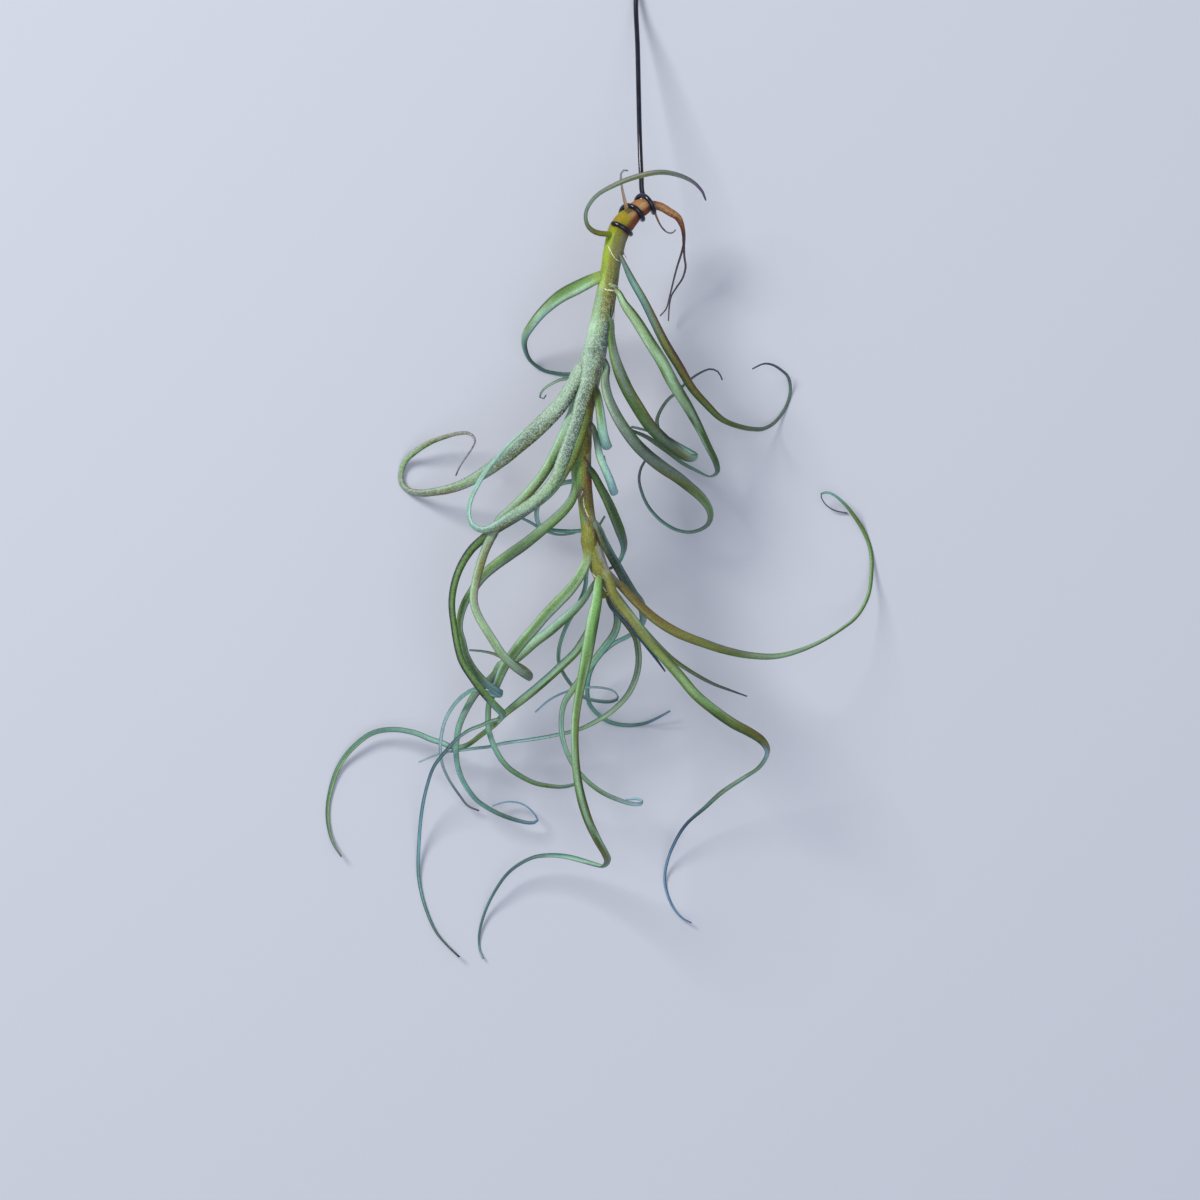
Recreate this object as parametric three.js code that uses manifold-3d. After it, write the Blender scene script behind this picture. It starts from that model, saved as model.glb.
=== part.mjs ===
// A wonga air plant laid on a flat surface, in millimetres, +Z up.
// Its stem lies level above the surface on its own curled leaves, root end towards +Y and growing
// tip towards -Y. A coated wire is wound round the foot of the stem and runs on past the root.
// Sizes follow from a wire 2 mm thick and a sheathed stem about 9 mm thick.

import * as THREE from "three";
import { mergeVertices } from "three/addons/utils/BufferGeometryUtils.js";
import Module from "manifold-3d";

const library = await Module();
library.setup();

const UP = new THREE.Vector3(0, 0, 1);

// The gap that neighbouring pieces keep, and how close two points merge
const CLEARANCE = 0.3;
const MERGE = 1e-4;

// Stem: the middle line from its foot to its growing tip, and its radius at shares of that length
const STEM_LINE = [
  [20.6, 159.8, 39.6],
  [17.2, 158.2, 40],
  [12, 154, 41],
  [7.6, 148, 42.4],
  [5.4, 140, 43.8],
  [2.8, 124, 46],
  [-0.4, 108, 48.6],
  [-3.2, 94, 51],
  [-5.6, 80, 53],
  [-6.6, 64, 55],
  [-6.4, 48, 56.6],
  [-4.8, 32, 58.2],
  [-2, 18, 59.4],
  [1.2, 8, 60],
  [3, 1, 60],
];
const STEM_RADIUS = [
  [0, 2.3],
  [0.03, 2.5],
  [0.11, 2.65],
  [0.14, 3.1],
  [0.2, 3.8],
  [0.4, 4.0],
  [0.55, 3.4],
  [0.7, 3.3],
  [0.88, 3.7],
  [0.96, 3.2],
  [1, 2.2],
];
const STEM_SIDES = 12;
const STEM_STEP = 2.4;
// Each old leaf base sheathes the stem: it swells towards its rim, where the next one comes out
const SHEATHS = 15;
const SHEATH_RIM = 0.45;

// Leaves: six-sided blades with a ridge along the back and a channel along the face
const LEAF_SIDES = 6;
const SIDE_REACH = Math.cos(Math.PI / LEAF_SIDES);
const LEAF_STEP = 7;
const LEAF_STEPS_LEAST = 14;
const LEAF_STEPS_MOST = 34;
const BLADE_THICKNESS = [0.7, 1.5];
const THICKNESS_SHARE = 0.24;
const CHANNEL_SHARE = 0.22;
const LEAST_WIDTH = 0.7;
// How fast a blade turns its flat to the sky along the stretches that lie level
const LEVELLING = 0.3;

// Each leaf: which side is up at the neck (1 the ridged back, -1 the channel), colour, widths at
// shares of its length, and its middle line, from the stem's core to the tip: x to the right,
// y towards the root, z above the surface.
const LEAVES = {
  // Lowest leaf: rises beside the wire, arches over it and hangs down on the far side
  leaf_01: {
    side: 1, color: 0x7f9a55,
    widths: [
      [0, 2.6], [0.1, 2.7], [0.3, 2.6], [0.6, 2.4], [0.8, 1.8], [0.95, 1.1], [1, 0.6],
    ],
    line: [
      [7, 147, 43], [2.4, 146.7, 47.5], [-2.1, 147.4, 50.5], [-5.1, 149.9, 53], [-5.8, 155, 55.5],
      [-2.1, 161.1, 58], [5.8, 165.8, 60], [16, 169.5, 60], [25.7, 171, 57], [36, 168.2, 52],
      [40.7, 164.1, 49], [42.4, 160.4, 46],
    ],
  },
  // Left loop near the foot, which rests on the surface
  leaf_02: {
    side: 1, color: 0x86a58c,
    widths: [
      [0, 5.2], [0.06, 6], [0.12, 6.2], [0.2, 5.6], [0.3, 4.4], [0.4, 3.7], [0.5, 3], [0.6, 2.4],
      [0.7, 1.9], [0.8, 1.4], [0.9, 1], [1, 0.5],
    ],
    line: [
      [3, 131, 44.6], [-1, 129.2, 46], [-9.4, 125.2, 44], [-15.3, 122.3, 40], [-21.3, 117.8, 33],
      [-26.6, 112.2, 25], [-30.4, 106.2, 16], [-30.2, 101.4, 9], [-27.8, 96.9, 3.2], [-22.4, 93.3, 0.5],
      [-15, 91.9, 1.4], [-10.4, 91.6, 6], [-12.2, 90, 10.4], [-16.2, 89.2, 12.5], [-20.2, 87.2, 13],
      [-23.4, 84.8, 12], [-24.4, 82, 10.6], [-22.6, 81.6, 9.6], [-21.8, 83, 9],
    ],
  },
  // Outer leaf on the right, whose hook rests on the surface
  leaf_03: {
    side: 1, color: 0x8aa487,
    widths: [
      [0, 1.8], [0.05, 2.4], [0.1, 3.4], [0.3, 3.8], [0.42, 3.2], [0.5, 2.8], [0.56, 2.3], [0.65, 2.1],
      [0.77, 1.6], [0.85, 1.3], [0.93, 1], [1, 0.5],
    ],
    line: [
      [6.4, 142, 43.4], [8.4, 136.7, 48.4], [12, 128.5, 51.4], [16.8, 119.6, 54], [26, 102.8, 54],
      [31.6, 93.7, 51], [36.9, 85, 46], [42.6, 78.8, 39], [48.8, 73.1, 30], [55, 70.5, 21],
      [61.6, 69.3, 12.5], [66.6, 69.6, 6.4], [71.3, 72.5, 2.2], [75.6, 78.5, 0.2], [77.4, 85, 0.8],
      [76.4, 90.6, 4], [73.8, 93.1, 7], [70.1, 95.3, 10], [66.4, 95.8, 12], [61.6, 93.6, 13],
    ],
  },
  // Right leaf with a narrow fold that turns back under the plant
  leaf_04: {
    side: 1, color: 0x8fae8c,
    widths: [
      [0, 2], [0.06, 2.8], [0.1, 4.4], [0.15, 5], [0.3, 4.6], [0.4, 3.8], [0.5, 3.2], [0.6, 2.6],
      [0.68, 2], [0.75, 2.2], [0.85, 2.2], [0.92, 1.2], [1, 0.8],
    ],
    line: [
      [3.4, 126, 45.8], [7.2, 123.4, 49.6], [9.6, 118.7, 52.6], [14, 111.4, 56], [19, 103.3, 57],
      [24, 95.4, 56], [29, 87.3, 53], [34.3, 79, 47], [39.2, 70.5, 39], [43.5, 62.1, 30],
      [46.9, 55.3, 22], [47.3, 51.6, 17], [44.5, 50.2, 14], [38.9, 52.7, 12], [33.6, 55.5, 11],
      [27.2, 60.4, 10], [18.4, 66.4, 10], [12.4, 69, 11], [12.6, 70, 13], [16, 69.4, 14.4],
      [22.4, 67.4, 15.4],
    ],
  },
  // Right leaf that folds at its far point and runs back up behind itself
  leaf_05: {
    side: 1, color: 0x88a779,
    widths: [
      [0, 2.4], [0.05, 3], [0.12, 4], [0.2, 4.8], [0.3, 5], [0.4, 4.8], [0.5, 4.2], [0.56, 3.4],
      [0.62, 2.4], [0.7, 1.7], [0.78, 1.3], [0.88, 1], [1, 0.5],
    ],
    line: [
      [0.4, 115, 47.8], [4.4, 112, 51.4], [4.6, 105.8, 54.4], [5.4, 99.1, 58], [7.8, 91, 61],
      [11, 83.8, 62], [15.2, 76.7, 61], [19.6, 70.1, 58], [25, 64.6, 54], [30.9, 60, 48],
      [35.8, 57.2, 41], [38.4, 57.6, 35], [36.4, 59.4, 30], [32.2, 62, 27.5], [26.4, 66, 25],
      [23.4, 69.4, 24], [23, 72.8, 24.5], [24.6, 76.8, 25], [27.4, 80.8, 26], [31.2, 84, 27],
      [35.2, 88, 28], [40.4, 91.6, 28], [44.6, 93.2, 27], [47.8, 92, 26], [49.4, 88.8, 25],
    ],
  },
  // Long right leaf that comes off the front and loops back under itself
  leaf_06: {
    side: 1, color: 0x7fa394,
    widths: [
      [0, 3.2], [0.1, 3.6], [0.2, 4.2], [0.3, 4.8], [0.4, 5], [0.5, 4.4], [0.58, 3.8], [0.64, 2.8],
      [0.7, 2.3], [0.8, 1.8], [0.9, 1.3], [1, 0.9],
    ],
    line: [
      [-2.4, 101, 50], [0.6, 97.5, 51], [2.6, 93.2, 53.2], [2, 88.7, 57], [3, 81.8, 62], [5.8, 75, 65],
      [9.8, 68.2, 65.5], [14.6, 62, 63.5], [19.8, 57.1, 59], [25.2, 53, 54], [30.9, 49.3, 48],
      [35.7, 45.6, 42], [39.8, 42.2, 37], [43.1, 38.3, 32], [44.6, 34.3, 28], [43.6, 30.7, 25],
      [40.4, 28.5, 23], [36, 27.5, 21], [30.7, 28.5, 20], [24.7, 32.1, 19], [19.6, 37.8, 18.5],
      [16.8, 43.9, 18.5], [15.8, 49.3, 19], [16.8, 53.8, 20], [18.8, 57, 21],
    ],
  },
  // Broad silvery leaf on the front, which droops to the left and hooks back
  leaf_07: {
    side: 1, color: 0x9db39d,
    widths: [
      [0, 7], [0.05, 6.8], [0.12, 5.8], [0.2, 5.2], [0.35, 5], [0.5, 4.8], [0.58, 4.2], [0.64, 2.8],
      [0.7, 2.2], [0.8, 2.2], [0.9, 1.4], [1, 0.6],
    ],
    line: [
      [-2.2, 97, 50.6], [-4.2, 91.6, 58.2], [-5, 86, 61.4], [-7.2, 79.6, 65], [-9.2, 71.8, 68.5],
      [-12, 63.8, 71.5], [-14.8, 55.8, 73], [-18, 47.8, 73], [-23.9, 41, 71.5], [-29.8, 36.6, 69],
      [-35.8, 33, 66], [-41.9, 29.3, 62.5], [-46.9, 28, 59.5], [-51.2, 30.2, 57], [-52.5, 35.2, 55.5],
      [-51.3, 41.2, 54], [-49, 46, 53], [-46.7, 50, 53], [-42, 56, 55], [-36, 62.8, 58.6],
      [-30, 68, 62],
    ],
  },
  // Broad silvery leaf on the left, the largest, whose loop rests on the surface
  leaf_08: {
    side: 1, color: 0x93ad9c,
    widths: [
      [0, 5.6], [0.06, 6.2], [0.13, 7], [0.22, 6.6], [0.32, 5.2], [0.4, 4.4], [0.5, 3.6], [0.57, 3],
      [0.64, 2.5], [0.7, 2.6], [0.77, 2.2], [0.83, 1.6], [0.9, 1.3], [1, 0.6],
    ],
    line: [
      [-3.4, 92, 51.2], [-8.2, 89.4, 54], [-11.4, 85.2, 55.4], [-15.4, 78.5, 57.2], [-20.2, 73.3, 57.4],
      [-25.4, 68.2, 55.6], [-31.8, 62.7, 51.6], [-37.7, 57.6, 46.2], [-44.2, 52.8, 39.5],
      [-51.4, 48.5, 31], [-59, 45.4, 22], [-66.4, 43.9, 14], [-73.2, 43.4, 7], [-78.4, 44.9, 2.6],
      [-80.9, 48.2, 1], [-80.7, 52.6, 1], [-78.8, 56.9, 2.6], [-74.3, 60.7, 6.5], [-68.5, 64.1, 10],
      [-62.2, 66.2, 14], [-56.4, 67.5, 18], [-52.4, 67.1, 21], [-50.3, 64.4, 23], [-51.6, 61.2, 24],
      [-54.4, 57.2, 23.5], [-56.8, 53.4, 22.4], [-58.2, 50.2, 21.4],
    ],
  },
  // Short leaf on the front that dives behind itself
  leaf_09: {
    side: 1, color: 0x87a36f,
    widths: [
      [0, 2.2], [0.18, 3.2], [0.35, 3.8], [0.53, 4], [0.6, 3.4], [0.7, 2.6], [0.88, 2.2], [1, 1.4],
    ],
    line: [
      [-4.6, 89, 52], [-1.8, 84.6, 56.6], [-0.4, 78.2, 61.4], [0.4, 72.2, 64.4], [1.2, 66.2, 65],
      [2.5, 62, 62.5], [3, 61.2, 57], [2.4, 61.8, 50], [1.2, 64, 44], [0.4, 68, 39], [0, 73, 36],
      [0.4, 78, 35],
    ],
  },
  // Left leaf between the broad ones, folded hard back on itself
  leaf_10: {
    side: 1, color: 0x8c9f62,
    widths: [
      [0, 4], [0.1, 4.2], [0.3, 3.9], [0.45, 3.6], [0.6, 3.2], [0.75, 3.4], [0.82, 3.2], [0.86, 2.6],
      [0.91, 1.4], [1, 0.7],
    ],
    line: [
      [-5.4, 83, 52.6], [-9.4, 78.6, 53.8], [-11.4, 74, 55.4], [-14, 67.5, 59.6], [-17.2, 60.3, 63],
      [-20.9, 52.8, 64.8], [-25.7, 46.1, 64.5], [-31.1, 40.3, 62.6], [-35.5, 36.1, 60.6],
      [-40, 32, 58.8], [-42, 27.6, 58], [-44.2, 23.6, 57.5], [-46.2, 19.2, 57.5], [-48.2, 12.8, 58],
      [-49.9, 6, 58.5], [-50.5, 0, 59], [-48.9, -5.8, 59.5], [-45.5, -11.8, 60], [-42.3, -16.8, 60],
      [-38.9, -22, 60], [-34, -26.7, 59.5], [-29.6, -29.9, 58], [-27.7, -31, 55.4], [-28.8, -29.2, 53],
      [-32.2, -26.4, 51.8], [-38.1, -23.7, 51], [-42.1, -21.7, 50.8], [-47.3, -20.5, 50.6],
      [-52.4, -20.1, 50.4],
    ],
  },
  // Long left leaf that folds at a point and trails to the far end
  leaf_11: {
    side: 1, color: 0x7f8f55,
    widths: [
      [0, 4.6], [0.08, 5], [0.15, 4.4], [0.24, 3.6], [0.3, 3.1], [0.38, 2.6], [0.45, 2.8], [0.53, 3],
      [0.58, 2.4], [0.62, 1.7], [0.72, 1.5], [0.85, 1.4], [0.93, 1], [1, 0.6],
    ],
    line: [
      [-5.8, 78, 53.2], [-6.4, 73, 57.4], [-7.8, 67.2, 59.4], [-11.2, 58, 60.6], [-16, 49.2, 60],
      [-20.2, 43.6, 58.6], [-26, 38.6, 56.2], [-34, 33, 52.8], [-40, 29.4, 50.4], [-46.1, 25.2, 48.4],
      [-52.1, 19.6, 46.5], [-57.2, 10.4, 46], [-59.4, 0, 46], [-58.6, -10, 46.5], [-55.6, -24, 48],
      [-51.3, -31.1, 49], [-46.2, -37.9, 49.5], [-41.8, -42.6, 49], [-39.1, -45.6, 46.5],
      [-39.6, -47.4, 42.5], [-44, -48.5, 39.5], [-47.8, -50.3, 38], [-52.5, -52.2, 35.5],
      [-57.7, -55.9, 32], [-62.3, -61, 28], [-66.9, -66.9, 24], [-69.8, -74.5, 17], [-72.2, -85.1, 10],
      [-73.6, -99.3, 3.6], [-73.7, -112.9, 0.8], [-71.3, -124.1, 0.6], [-66.8, -134.7, 1.4],
      [-62.2, -140.2, 2.8], [-57.1, -145, 4],
    ],
  },
  // Short leaf on the right that dives behind itself
  leaf_12: {
    side: 1, color: 0x82a06c,
    widths: [
      [0, 1.6], [0.2, 2.8], [0.35, 3.2], [0.5, 3.4], [0.6, 3.2], [0.75, 2.6], [1, 1.4],
    ],
    line: [
      [-6.2, 73, 54], [-2.9, 69.4, 57.2], [-1.4, 63.9, 58.8], [-0.1, 57.5, 61.6], [2, 52.2, 65],
      [4, 47.5, 65], [5.3, 43.8, 61.6], [5.9, 42.8, 55], [5.5, 44.4, 47], [3.6, 48.4, 41],
      [2.2, 53, 38], [1.2, 58, 37],
    ],
  },
  // Pale leaf behind the stem on the left, curled under
  leaf_13: {
    side: -1, color: 0x8fb0ae,
    widths: [
      [0, 2], [0.3, 2.8], [0.57, 2.4], [0.71, 1.7], [0.86, 1.2], [1, 0.8],
    ],
    line: [
      [-6.6, 63, 54.6], [-9.4, 57.6, 50], [-13.7, 52, 44], [-19.4, 46.4, 37], [-24.3, 42.8, 31.5],
      [-28.5, 40.4, 27.5], [-32.5, 38.4, 24.5], [-34.7, 35.6, 22], [-32.7, 33.6, 19.5],
      [-28.7, 31.6, 17], [-21.3, 27.6, 13.5], [-16.4, 26.4, 11.5], [-10.3, 27.2, 9.5], [-7, 28.8, 8.5],
    ],
  },
  // Second leaf behind the stem, which crosses to the right below it
  leaf_14: {
    side: -1, color: 0x5f8a86,
    widths: [
      [0, 2], [0.17, 2.6], [0.35, 2.2], [0.5, 1.8], [0.67, 1.8], [0.83, 1.6], [1, 0.8],
    ],
    line: [
      [-6.4, 53, 55.4], [-8.8, 48.5, 50.6], [-16.1, 46.6, 46], [-20.9, 44.2, 42.4], [-24.1, 40.2, 38],
      [-25.5, 36.2, 34.5], [-25.1, 31.4, 31.5], [-23.1, 29, 30], [-19.5, 28.2, 28.5], [-14.3, 27.8, 27],
      [-9.4, 27.8, 26], [-1.2, 29.4, 25.5], [2, 33.9, 25.5],
    ],
  },
  // Left leaf that folds short and drops a fine tail
  leaf_15: {
    side: 1, color: 0x7d9c5a,
    widths: [
      [0, 4], [0.06, 4.2], [0.15, 4.2], [0.25, 4.5], [0.33, 4], [0.38, 3.2], [0.45, 2.6], [0.52, 3],
      [0.6, 3.2], [0.65, 2], [0.72, 1.6], [0.85, 1.3], [0.95, 1], [1, 0.6],
    ],
    line: [
      [-6.5, 58, 55.6], [-9.8, 52, 55.6], [-9.6, 46, 54.8], [-11, 40.4, 54], [-14.2, 36, 53],
      [-18.8, 31.6, 51.5], [-23.6, 27.6, 50], [-30.1, 22.4, 48], [-36.7, 17.8, 46], [-42.7, 13.4, 44],
      [-47.4, 9.2, 42.5], [-51.6, 3.2, 41], [-54.4, -1.4, 40], [-55.9, -6, 39.5], [-56.5, -11.3, 39],
      [-55.1, -16.9, 39.5], [-53.8, -22.3, 40], [-50.5, -28.2, 41], [-45.2, -33.9, 41.5],
      [-41.4, -36.6, 40], [-39.8, -38, 36.8], [-44.4, -37.7, 34], [-50.5, -36, 33], [-55.4, -38.7, 31],
      [-58.9, -42.3, 28.5], [-61.5, -46.4, 26.5], [-63.3, -50.9, 24.5], [-64.6, -59.2, 20],
      [-64, -65.8, 16], [-61.7, -71.9, 12], [-57, -79.3, 7.5], [-53.4, -83.8, 5], [-49.1, -85.6, 4],
    ],
  },
  // Dark leaf on the right of the stem that ducks under it
  leaf_16: {
    side: 1, color: 0x5b7444,
    widths: [
      [0, 2.6], [0.16, 3.4], [0.3, 4], [0.45, 4], [0.55, 3.2], [0.65, 2.2], [0.8, 1.8], [1, 0.9],
    ],
    line: [
      [-6.4, 55, 56], [-2.8, 50.6, 59.2], [-0.4, 46, 60.4], [2.8, 40, 60.8], [5.6, 33.6, 59],
      [8, 27.6, 54], [9.6, 22, 47], [8.9, 18, 40], [6.9, 14.6, 34], [2, 12.2, 29.5], [-2.6, 13.4, 26.4],
      [-4.8, 16.4, 24.6],
    ],
  },
  // Dark leaf that passes under the tip and curls out flat on the surface
  leaf_17: {
    side: 1, color: 0x42614d,
    widths: [
      [0, 2.8], [0.1, 3.6], [0.25, 3.8], [0.4, 3.2], [0.5, 2.4], [0.6, 1.9], [0.75, 1.7], [0.87, 1.5],
      [1, 0.7],
    ],
    line: [
      [-4, 33, 58], [-0.8, 28.8, 61.2], [1.2, 24, 62], [3.8, 18.8, 61.4], [6.8, 13.6, 58.5],
      [10, 8, 54], [13.4, 2.4, 48], [16.2, -1.2, 42], [17.4, -6, 36], [16.8, -9.7, 31], [13.8, -13, 27],
      [11, -14.7, 24.5], [4.8, -18, 20], [-0.4, -22.8, 16], [-3.6, -28.2, 12.5], [-5, -34, 9.5],
      [-5, -39.4, 7], [-3.8, -43, 4.6], [0.2, -47.3, 2.2], [4.4, -49.7, 0.8], [10.7, -50.9, 0.2],
      [17.6, -50.3, 1], [22.7, -48.2, 4], [28.5, -45, 7],
    ],
  },
  // Left leaf of the tip that sweeps down and across
  leaf_18: {
    side: 1, color: 0x86a564,
    widths: [
      [0, 4], [0.08, 4.4], [0.16, 4.6], [0.3, 4.2], [0.4, 4.2], [0.5, 3.6], [0.6, 2.4], [0.7, 2.2],
      [0.8, 2.1], [0.9, 1.8], [1, 1.2],
    ],
    line: [
      [-1.6, 22, 59.2], [-4.8, 17.2, 61.4], [-7.6, 10.2, 63], [-12, 4, 63.5], [-17.2, -1.4, 62],
      [-22, -6.4, 58.4], [-26.6, -11.8, 53.4], [-31.1, -16.8, 47.5], [-35.3, -22.2, 42],
      [-38.4, -26.8, 37.5], [-40.3, -30.9, 34], [-42.2, -35.7, 30.5], [-44.7, -41.9, 28.6],
      [-45.1, -46.6, 29], [-44.9, -52, 31], [-42.7, -58.8, 31.4], [-40, -63.9, 31],
      [-36.7, -67.7, 30.5], [-32.1, -70.9, 30.4], [-26.3, -73.7, 30.8], [-20.2, -74.9, 32],
      [-15.3, -75.2, 34], [-10.5, -74.2, 36], [-8.9, -73.3, 37],
    ],
  },
  // Left leaf of the tip, under the last one, with an open loop at its end
  leaf_19: {
    side: 1, color: 0x7c9a5e,
    widths: [
      [0, 1.8], [0.05, 2.4], [0.12, 3.6], [0.25, 4], [0.33, 3.8], [0.42, 3.2], [0.5, 2.6], [0.6, 2.2],
      [0.7, 2], [0.8, 1.8], [0.88, 1.3], [1, 0.6],
    ],
    line: [
      [0.4, 11, 59.2], [-3.2, 5.2, 57.4], [-6, 0.6, 56.6], [-9.6, -3.4, 54.4], [-15, -8.2, 51],
      [-20.5, -12.8, 46.6], [-25.9, -16.7, 42], [-31, -21.2, 37.4], [-35.2, -24.4, 33.4],
      [-40.3, -26.6, 30.4], [-42, -29.8, 28.4], [-45.7, -33.5, 26.6], [-49.8, -37.3, 25.4],
      [-54.4, -45, 25], [-57, -51.4, 25.4], [-58, -57.9, 25], [-58.1, -61.2, 24.4], [-57.5, -67, 22.4],
      [-55.5, -72.9, 20], [-52.3, -78.1, 17.4], [-49.2, -81.6, 15], [-41.6, -86.3, 12],
      [-33.7, -89.3, 9.5], [-28.3, -90.4, 8], [-25.4, -89.7, 7], [-26.7, -87, 6], [-31.1, -83.1, 5.5],
      [-37.3, -81.9, 5.5], [-43.8, -83.7, 6],
    ],
  },
  // Thin dark leaf behind the tip, with a small loop
  leaf_20: {
    side: -1, color: 0x44706b,
    widths: [
      [0, 1.6], [0.1, 1.7], [0.4, 1.5], [0.65, 1.5], [0.75, 1.3], [0.85, 1.1], [1, 0.6],
    ],
    line: [
      [-2.6, 20, 58.8], [-5.2, 12.6, 53.4], [-6, 5, 50.6], [-8.6, -1.5, 47], [-12.9, -9.3, 40.4],
      [-15.3, -15, 35.5], [-16.6, -20.3, 32], [-16.6, -25, 29], [-14.9, -29.4, 27], [-11, -35, 24.5],
      [-6.6, -39.2, 22.5], [-0.4, -40.9, 20.5], [4.9, -41, 18.5], [7.6, -39.5, 16.5], [5.8, -36.8, 15],
      [0.4, -35.4, 14], [-5.8, -35.4, 13], [-12.4, -36.7, 12.5], [-20.1, -40.2, 12], [-26.3, -45.5, 12],
    ],
  },
  // Central leaf of the tip, on the front, bent hard at its end and trailing away
  leaf_21: {
    side: 1, color: 0x82ad5c,
    widths: [
      [0, 2.8], [0.03, 3.3], [0.06, 4.3], [0.1, 5], [0.16, 4.8], [0.22, 3.6], [0.3, 2.9], [0.36, 3.2],
      [0.43, 3.7], [0.5, 3.4], [0.55, 3], [0.62, 2.6], [0.7, 1.9], [0.78, 1.5], [0.87, 1.3], [0.94, 1],
      [1, 0.6],
    ],
    line: [
      [0.8, 12, 59.6], [-0.6, 7.2, 64.2], [-1.2, 0, 67.4], [-2.8, -8, 73], [-4.2, -15.9, 78],
      [-5.9, -25.6, 83.5], [-7.9, -35.3, 87], [-9.6, -46, 88.5], [-9.9, -59, 86.5], [-8.6, -73, 80.5],
      [-5.3, -86, 71.5], [-1.4, -95, 62.5], [2.1, -101.6, 52.5], [3, -104.6, 44.5], [1.4, -106.8, 37.5],
      [-1.9, -106.4, 32], [-7.3, -105, 27], [-13.4, -103.6, 22.5], [-20.4, -103.2, 18],
      [-27.4, -104.3, 14], [-36.5, -109.9, 9], [-42.4, -117.7, 6], [-46.7, -126.6, 2.6],
      [-49.1, -136.1, 0.8], [-48.9, -142.3, 0.4], [-47.4, -145.8, 2],
    ],
  },
  // Right-hand leaf of the tip, on the front, bent back and curling to the surface
  leaf_22: {
    side: 1, color: 0x7ea35e,
    widths: [
      [0, 3], [0.05, 3.6], [0.15, 4], [0.4, 4], [0.48, 3.4], [0.52, 2.3], [0.58, 2.4], [0.68, 1.8],
      [0.76, 1.4], [0.86, 1.1], [0.95, 1], [1, 0.5],
    ],
    line: [
      [1.8, 13, 60], [3.5, 8.6, 65.6], [5.1, 3, 69], [8, -1.8, 70.4], [12.4, -7.2, 72.4],
      [19.4, -16.2, 75], [25.8, -23.4, 77], [31.6, -30, 77.4], [37.7, -37.3, 76], [45.2, -43.7, 72.5],
      [52.9, -49.1, 67], [59.4, -52.6, 60.5], [64.4, -55.9, 53.6], [67, -59.6, 46], [66.7, -62.8, 39.5],
      [63.8, -67.3, 34], [58.1, -71.4, 28.5], [49.1, -77.7, 22.5], [42.5, -83.9, 17], [34.8, -91, 12],
      [30.1, -98.8, 7.5], [27.3, -106.4, 3.2], [26.3, -114, 0.6], [27.6, -120.3, 0.1],
      [30.4, -126, 0.4], [33.5, -129.3, 2], [37.2, -131.2, 3],
    ],
  },
  // Widest sweep on the right, whose far arc rests on the surface
  leaf_23: {
    side: 1, color: 0x7c7c3f,
    widths: [
      [0, 3], [0.05, 3.8], [0.16, 4], [0.25, 3.4], [0.35, 2.6], [0.45, 1.9], [0.55, 1.3], [0.65, 1.6],
      [0.75, 1.6], [0.83, 1.6], [0.9, 1], [1, 0.6],
    ],
    line: [
      [2.2, 10, 59.8], [7, 6.6, 61.6], [14.4, -0.8, 63.5], [22.4, -7.9, 65], [31.1, -13.2, 65],
      [41, -17.1, 62.5], [50.8, -20.3, 58], [61.1, -22.3, 51.5], [70.2, -22.6, 44.5],
      [78.5, -20.9, 37.5], [88.6, -16.9, 29], [98.1, -11.3, 20.5], [104.3, -6.2, 13], [108.7, 1.6, 7.5],
      [110.3, 10.8, 2.6], [110.1, 19.8, 0.3], [107.6, 27.1, 0.7], [102.9, 34.6, 3.8], [98.2, 40, 7],
      [93.3, 43.4, 8.4], [89.9, 43.2, 7], [91, 39.8, 4.5], [95.1, 36.6, 2], [100.6, 35.4, 0.8],
    ],
  },
  // Thin leaf close under the right-hand one
  leaf_24: {
    side: -1, color: 0x6f7a3c,
    widths: [
      [0, 1.6], [0.3, 1.9], [0.5, 1.8], [0.7, 1.5], [0.85, 1.1], [1, 0.5],
    ],
    line: [
      [2.4, 9, 59], [5.6, 4.2, 58.2], [10, -2, 59.2], [16.1, -10, 59.5], [22.5, -17.2, 57.5],
      [28.6, -23.2, 54], [36.1, -28.5, 49], [45.1, -33.5, 42.5], [52.6, -36.4, 37], [59.2, -38.8, 32],
    ],
  },
  // Thin dark leaf that shows left of the right-hand one
  leaf_25: {
    side: -1, color: 0x34464c,
    widths: [
      [0, 1.4], [0.55, 1.5], [0.8, 1.2], [1, 0.6],
    ],
    line: [
      [2, 5, 60], [3.6, -1.6, 61.4], [6.6, -5.6, 62.8], [10.8, -9.4, 63.2], [16, -15.4, 62],
      [21.6, -22.4, 59], [26, -28.5, 55],
    ],
  },
  // Leaf behind the tip that swings right, then back under everything to the left
  leaf_26: {
    side: -1, color: 0x7b7a50,
    widths: [
      [0, 2], [0.1, 2.6], [0.3, 2.6], [0.45, 2.2], [0.55, 1.6], [0.7, 1.3], [0.85, 1.2], [1, 0.5],
    ],
    line: [
      [2.2, 7, 58.6], [4.2, -0.4, 55.6], [6.5, -4.2, 55.2], [9.6, -8, 55], [13.9, -14.1, 53],
      [15.3, -20.1, 49.5], [15.4, -26.2, 46], [13.8, -32.8, 42], [10.6, -38.8, 38], [4.1, -45.3, 33.5],
      [-3.6, -50, 29.5], [-9, -52.4, 27], [-16.7, -54.3, 24.4], [-26.9, -56.2, 22],
      [-38.7, -57.9, 18.6], [-45, -59.4, 16.4], [-48.4, -59.8, 15.4], [-56.2, -60.8, 13.2],
      [-61.6, -61.6, 12], [-66.5, -62.8, 11], [-73.5, -65.8, 10],
    ],
  },
  // Pale leaf behind the tip that curls left and returns across
  leaf_27: {
    side: -1, color: 0x7fae9a,
    widths: [
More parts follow.
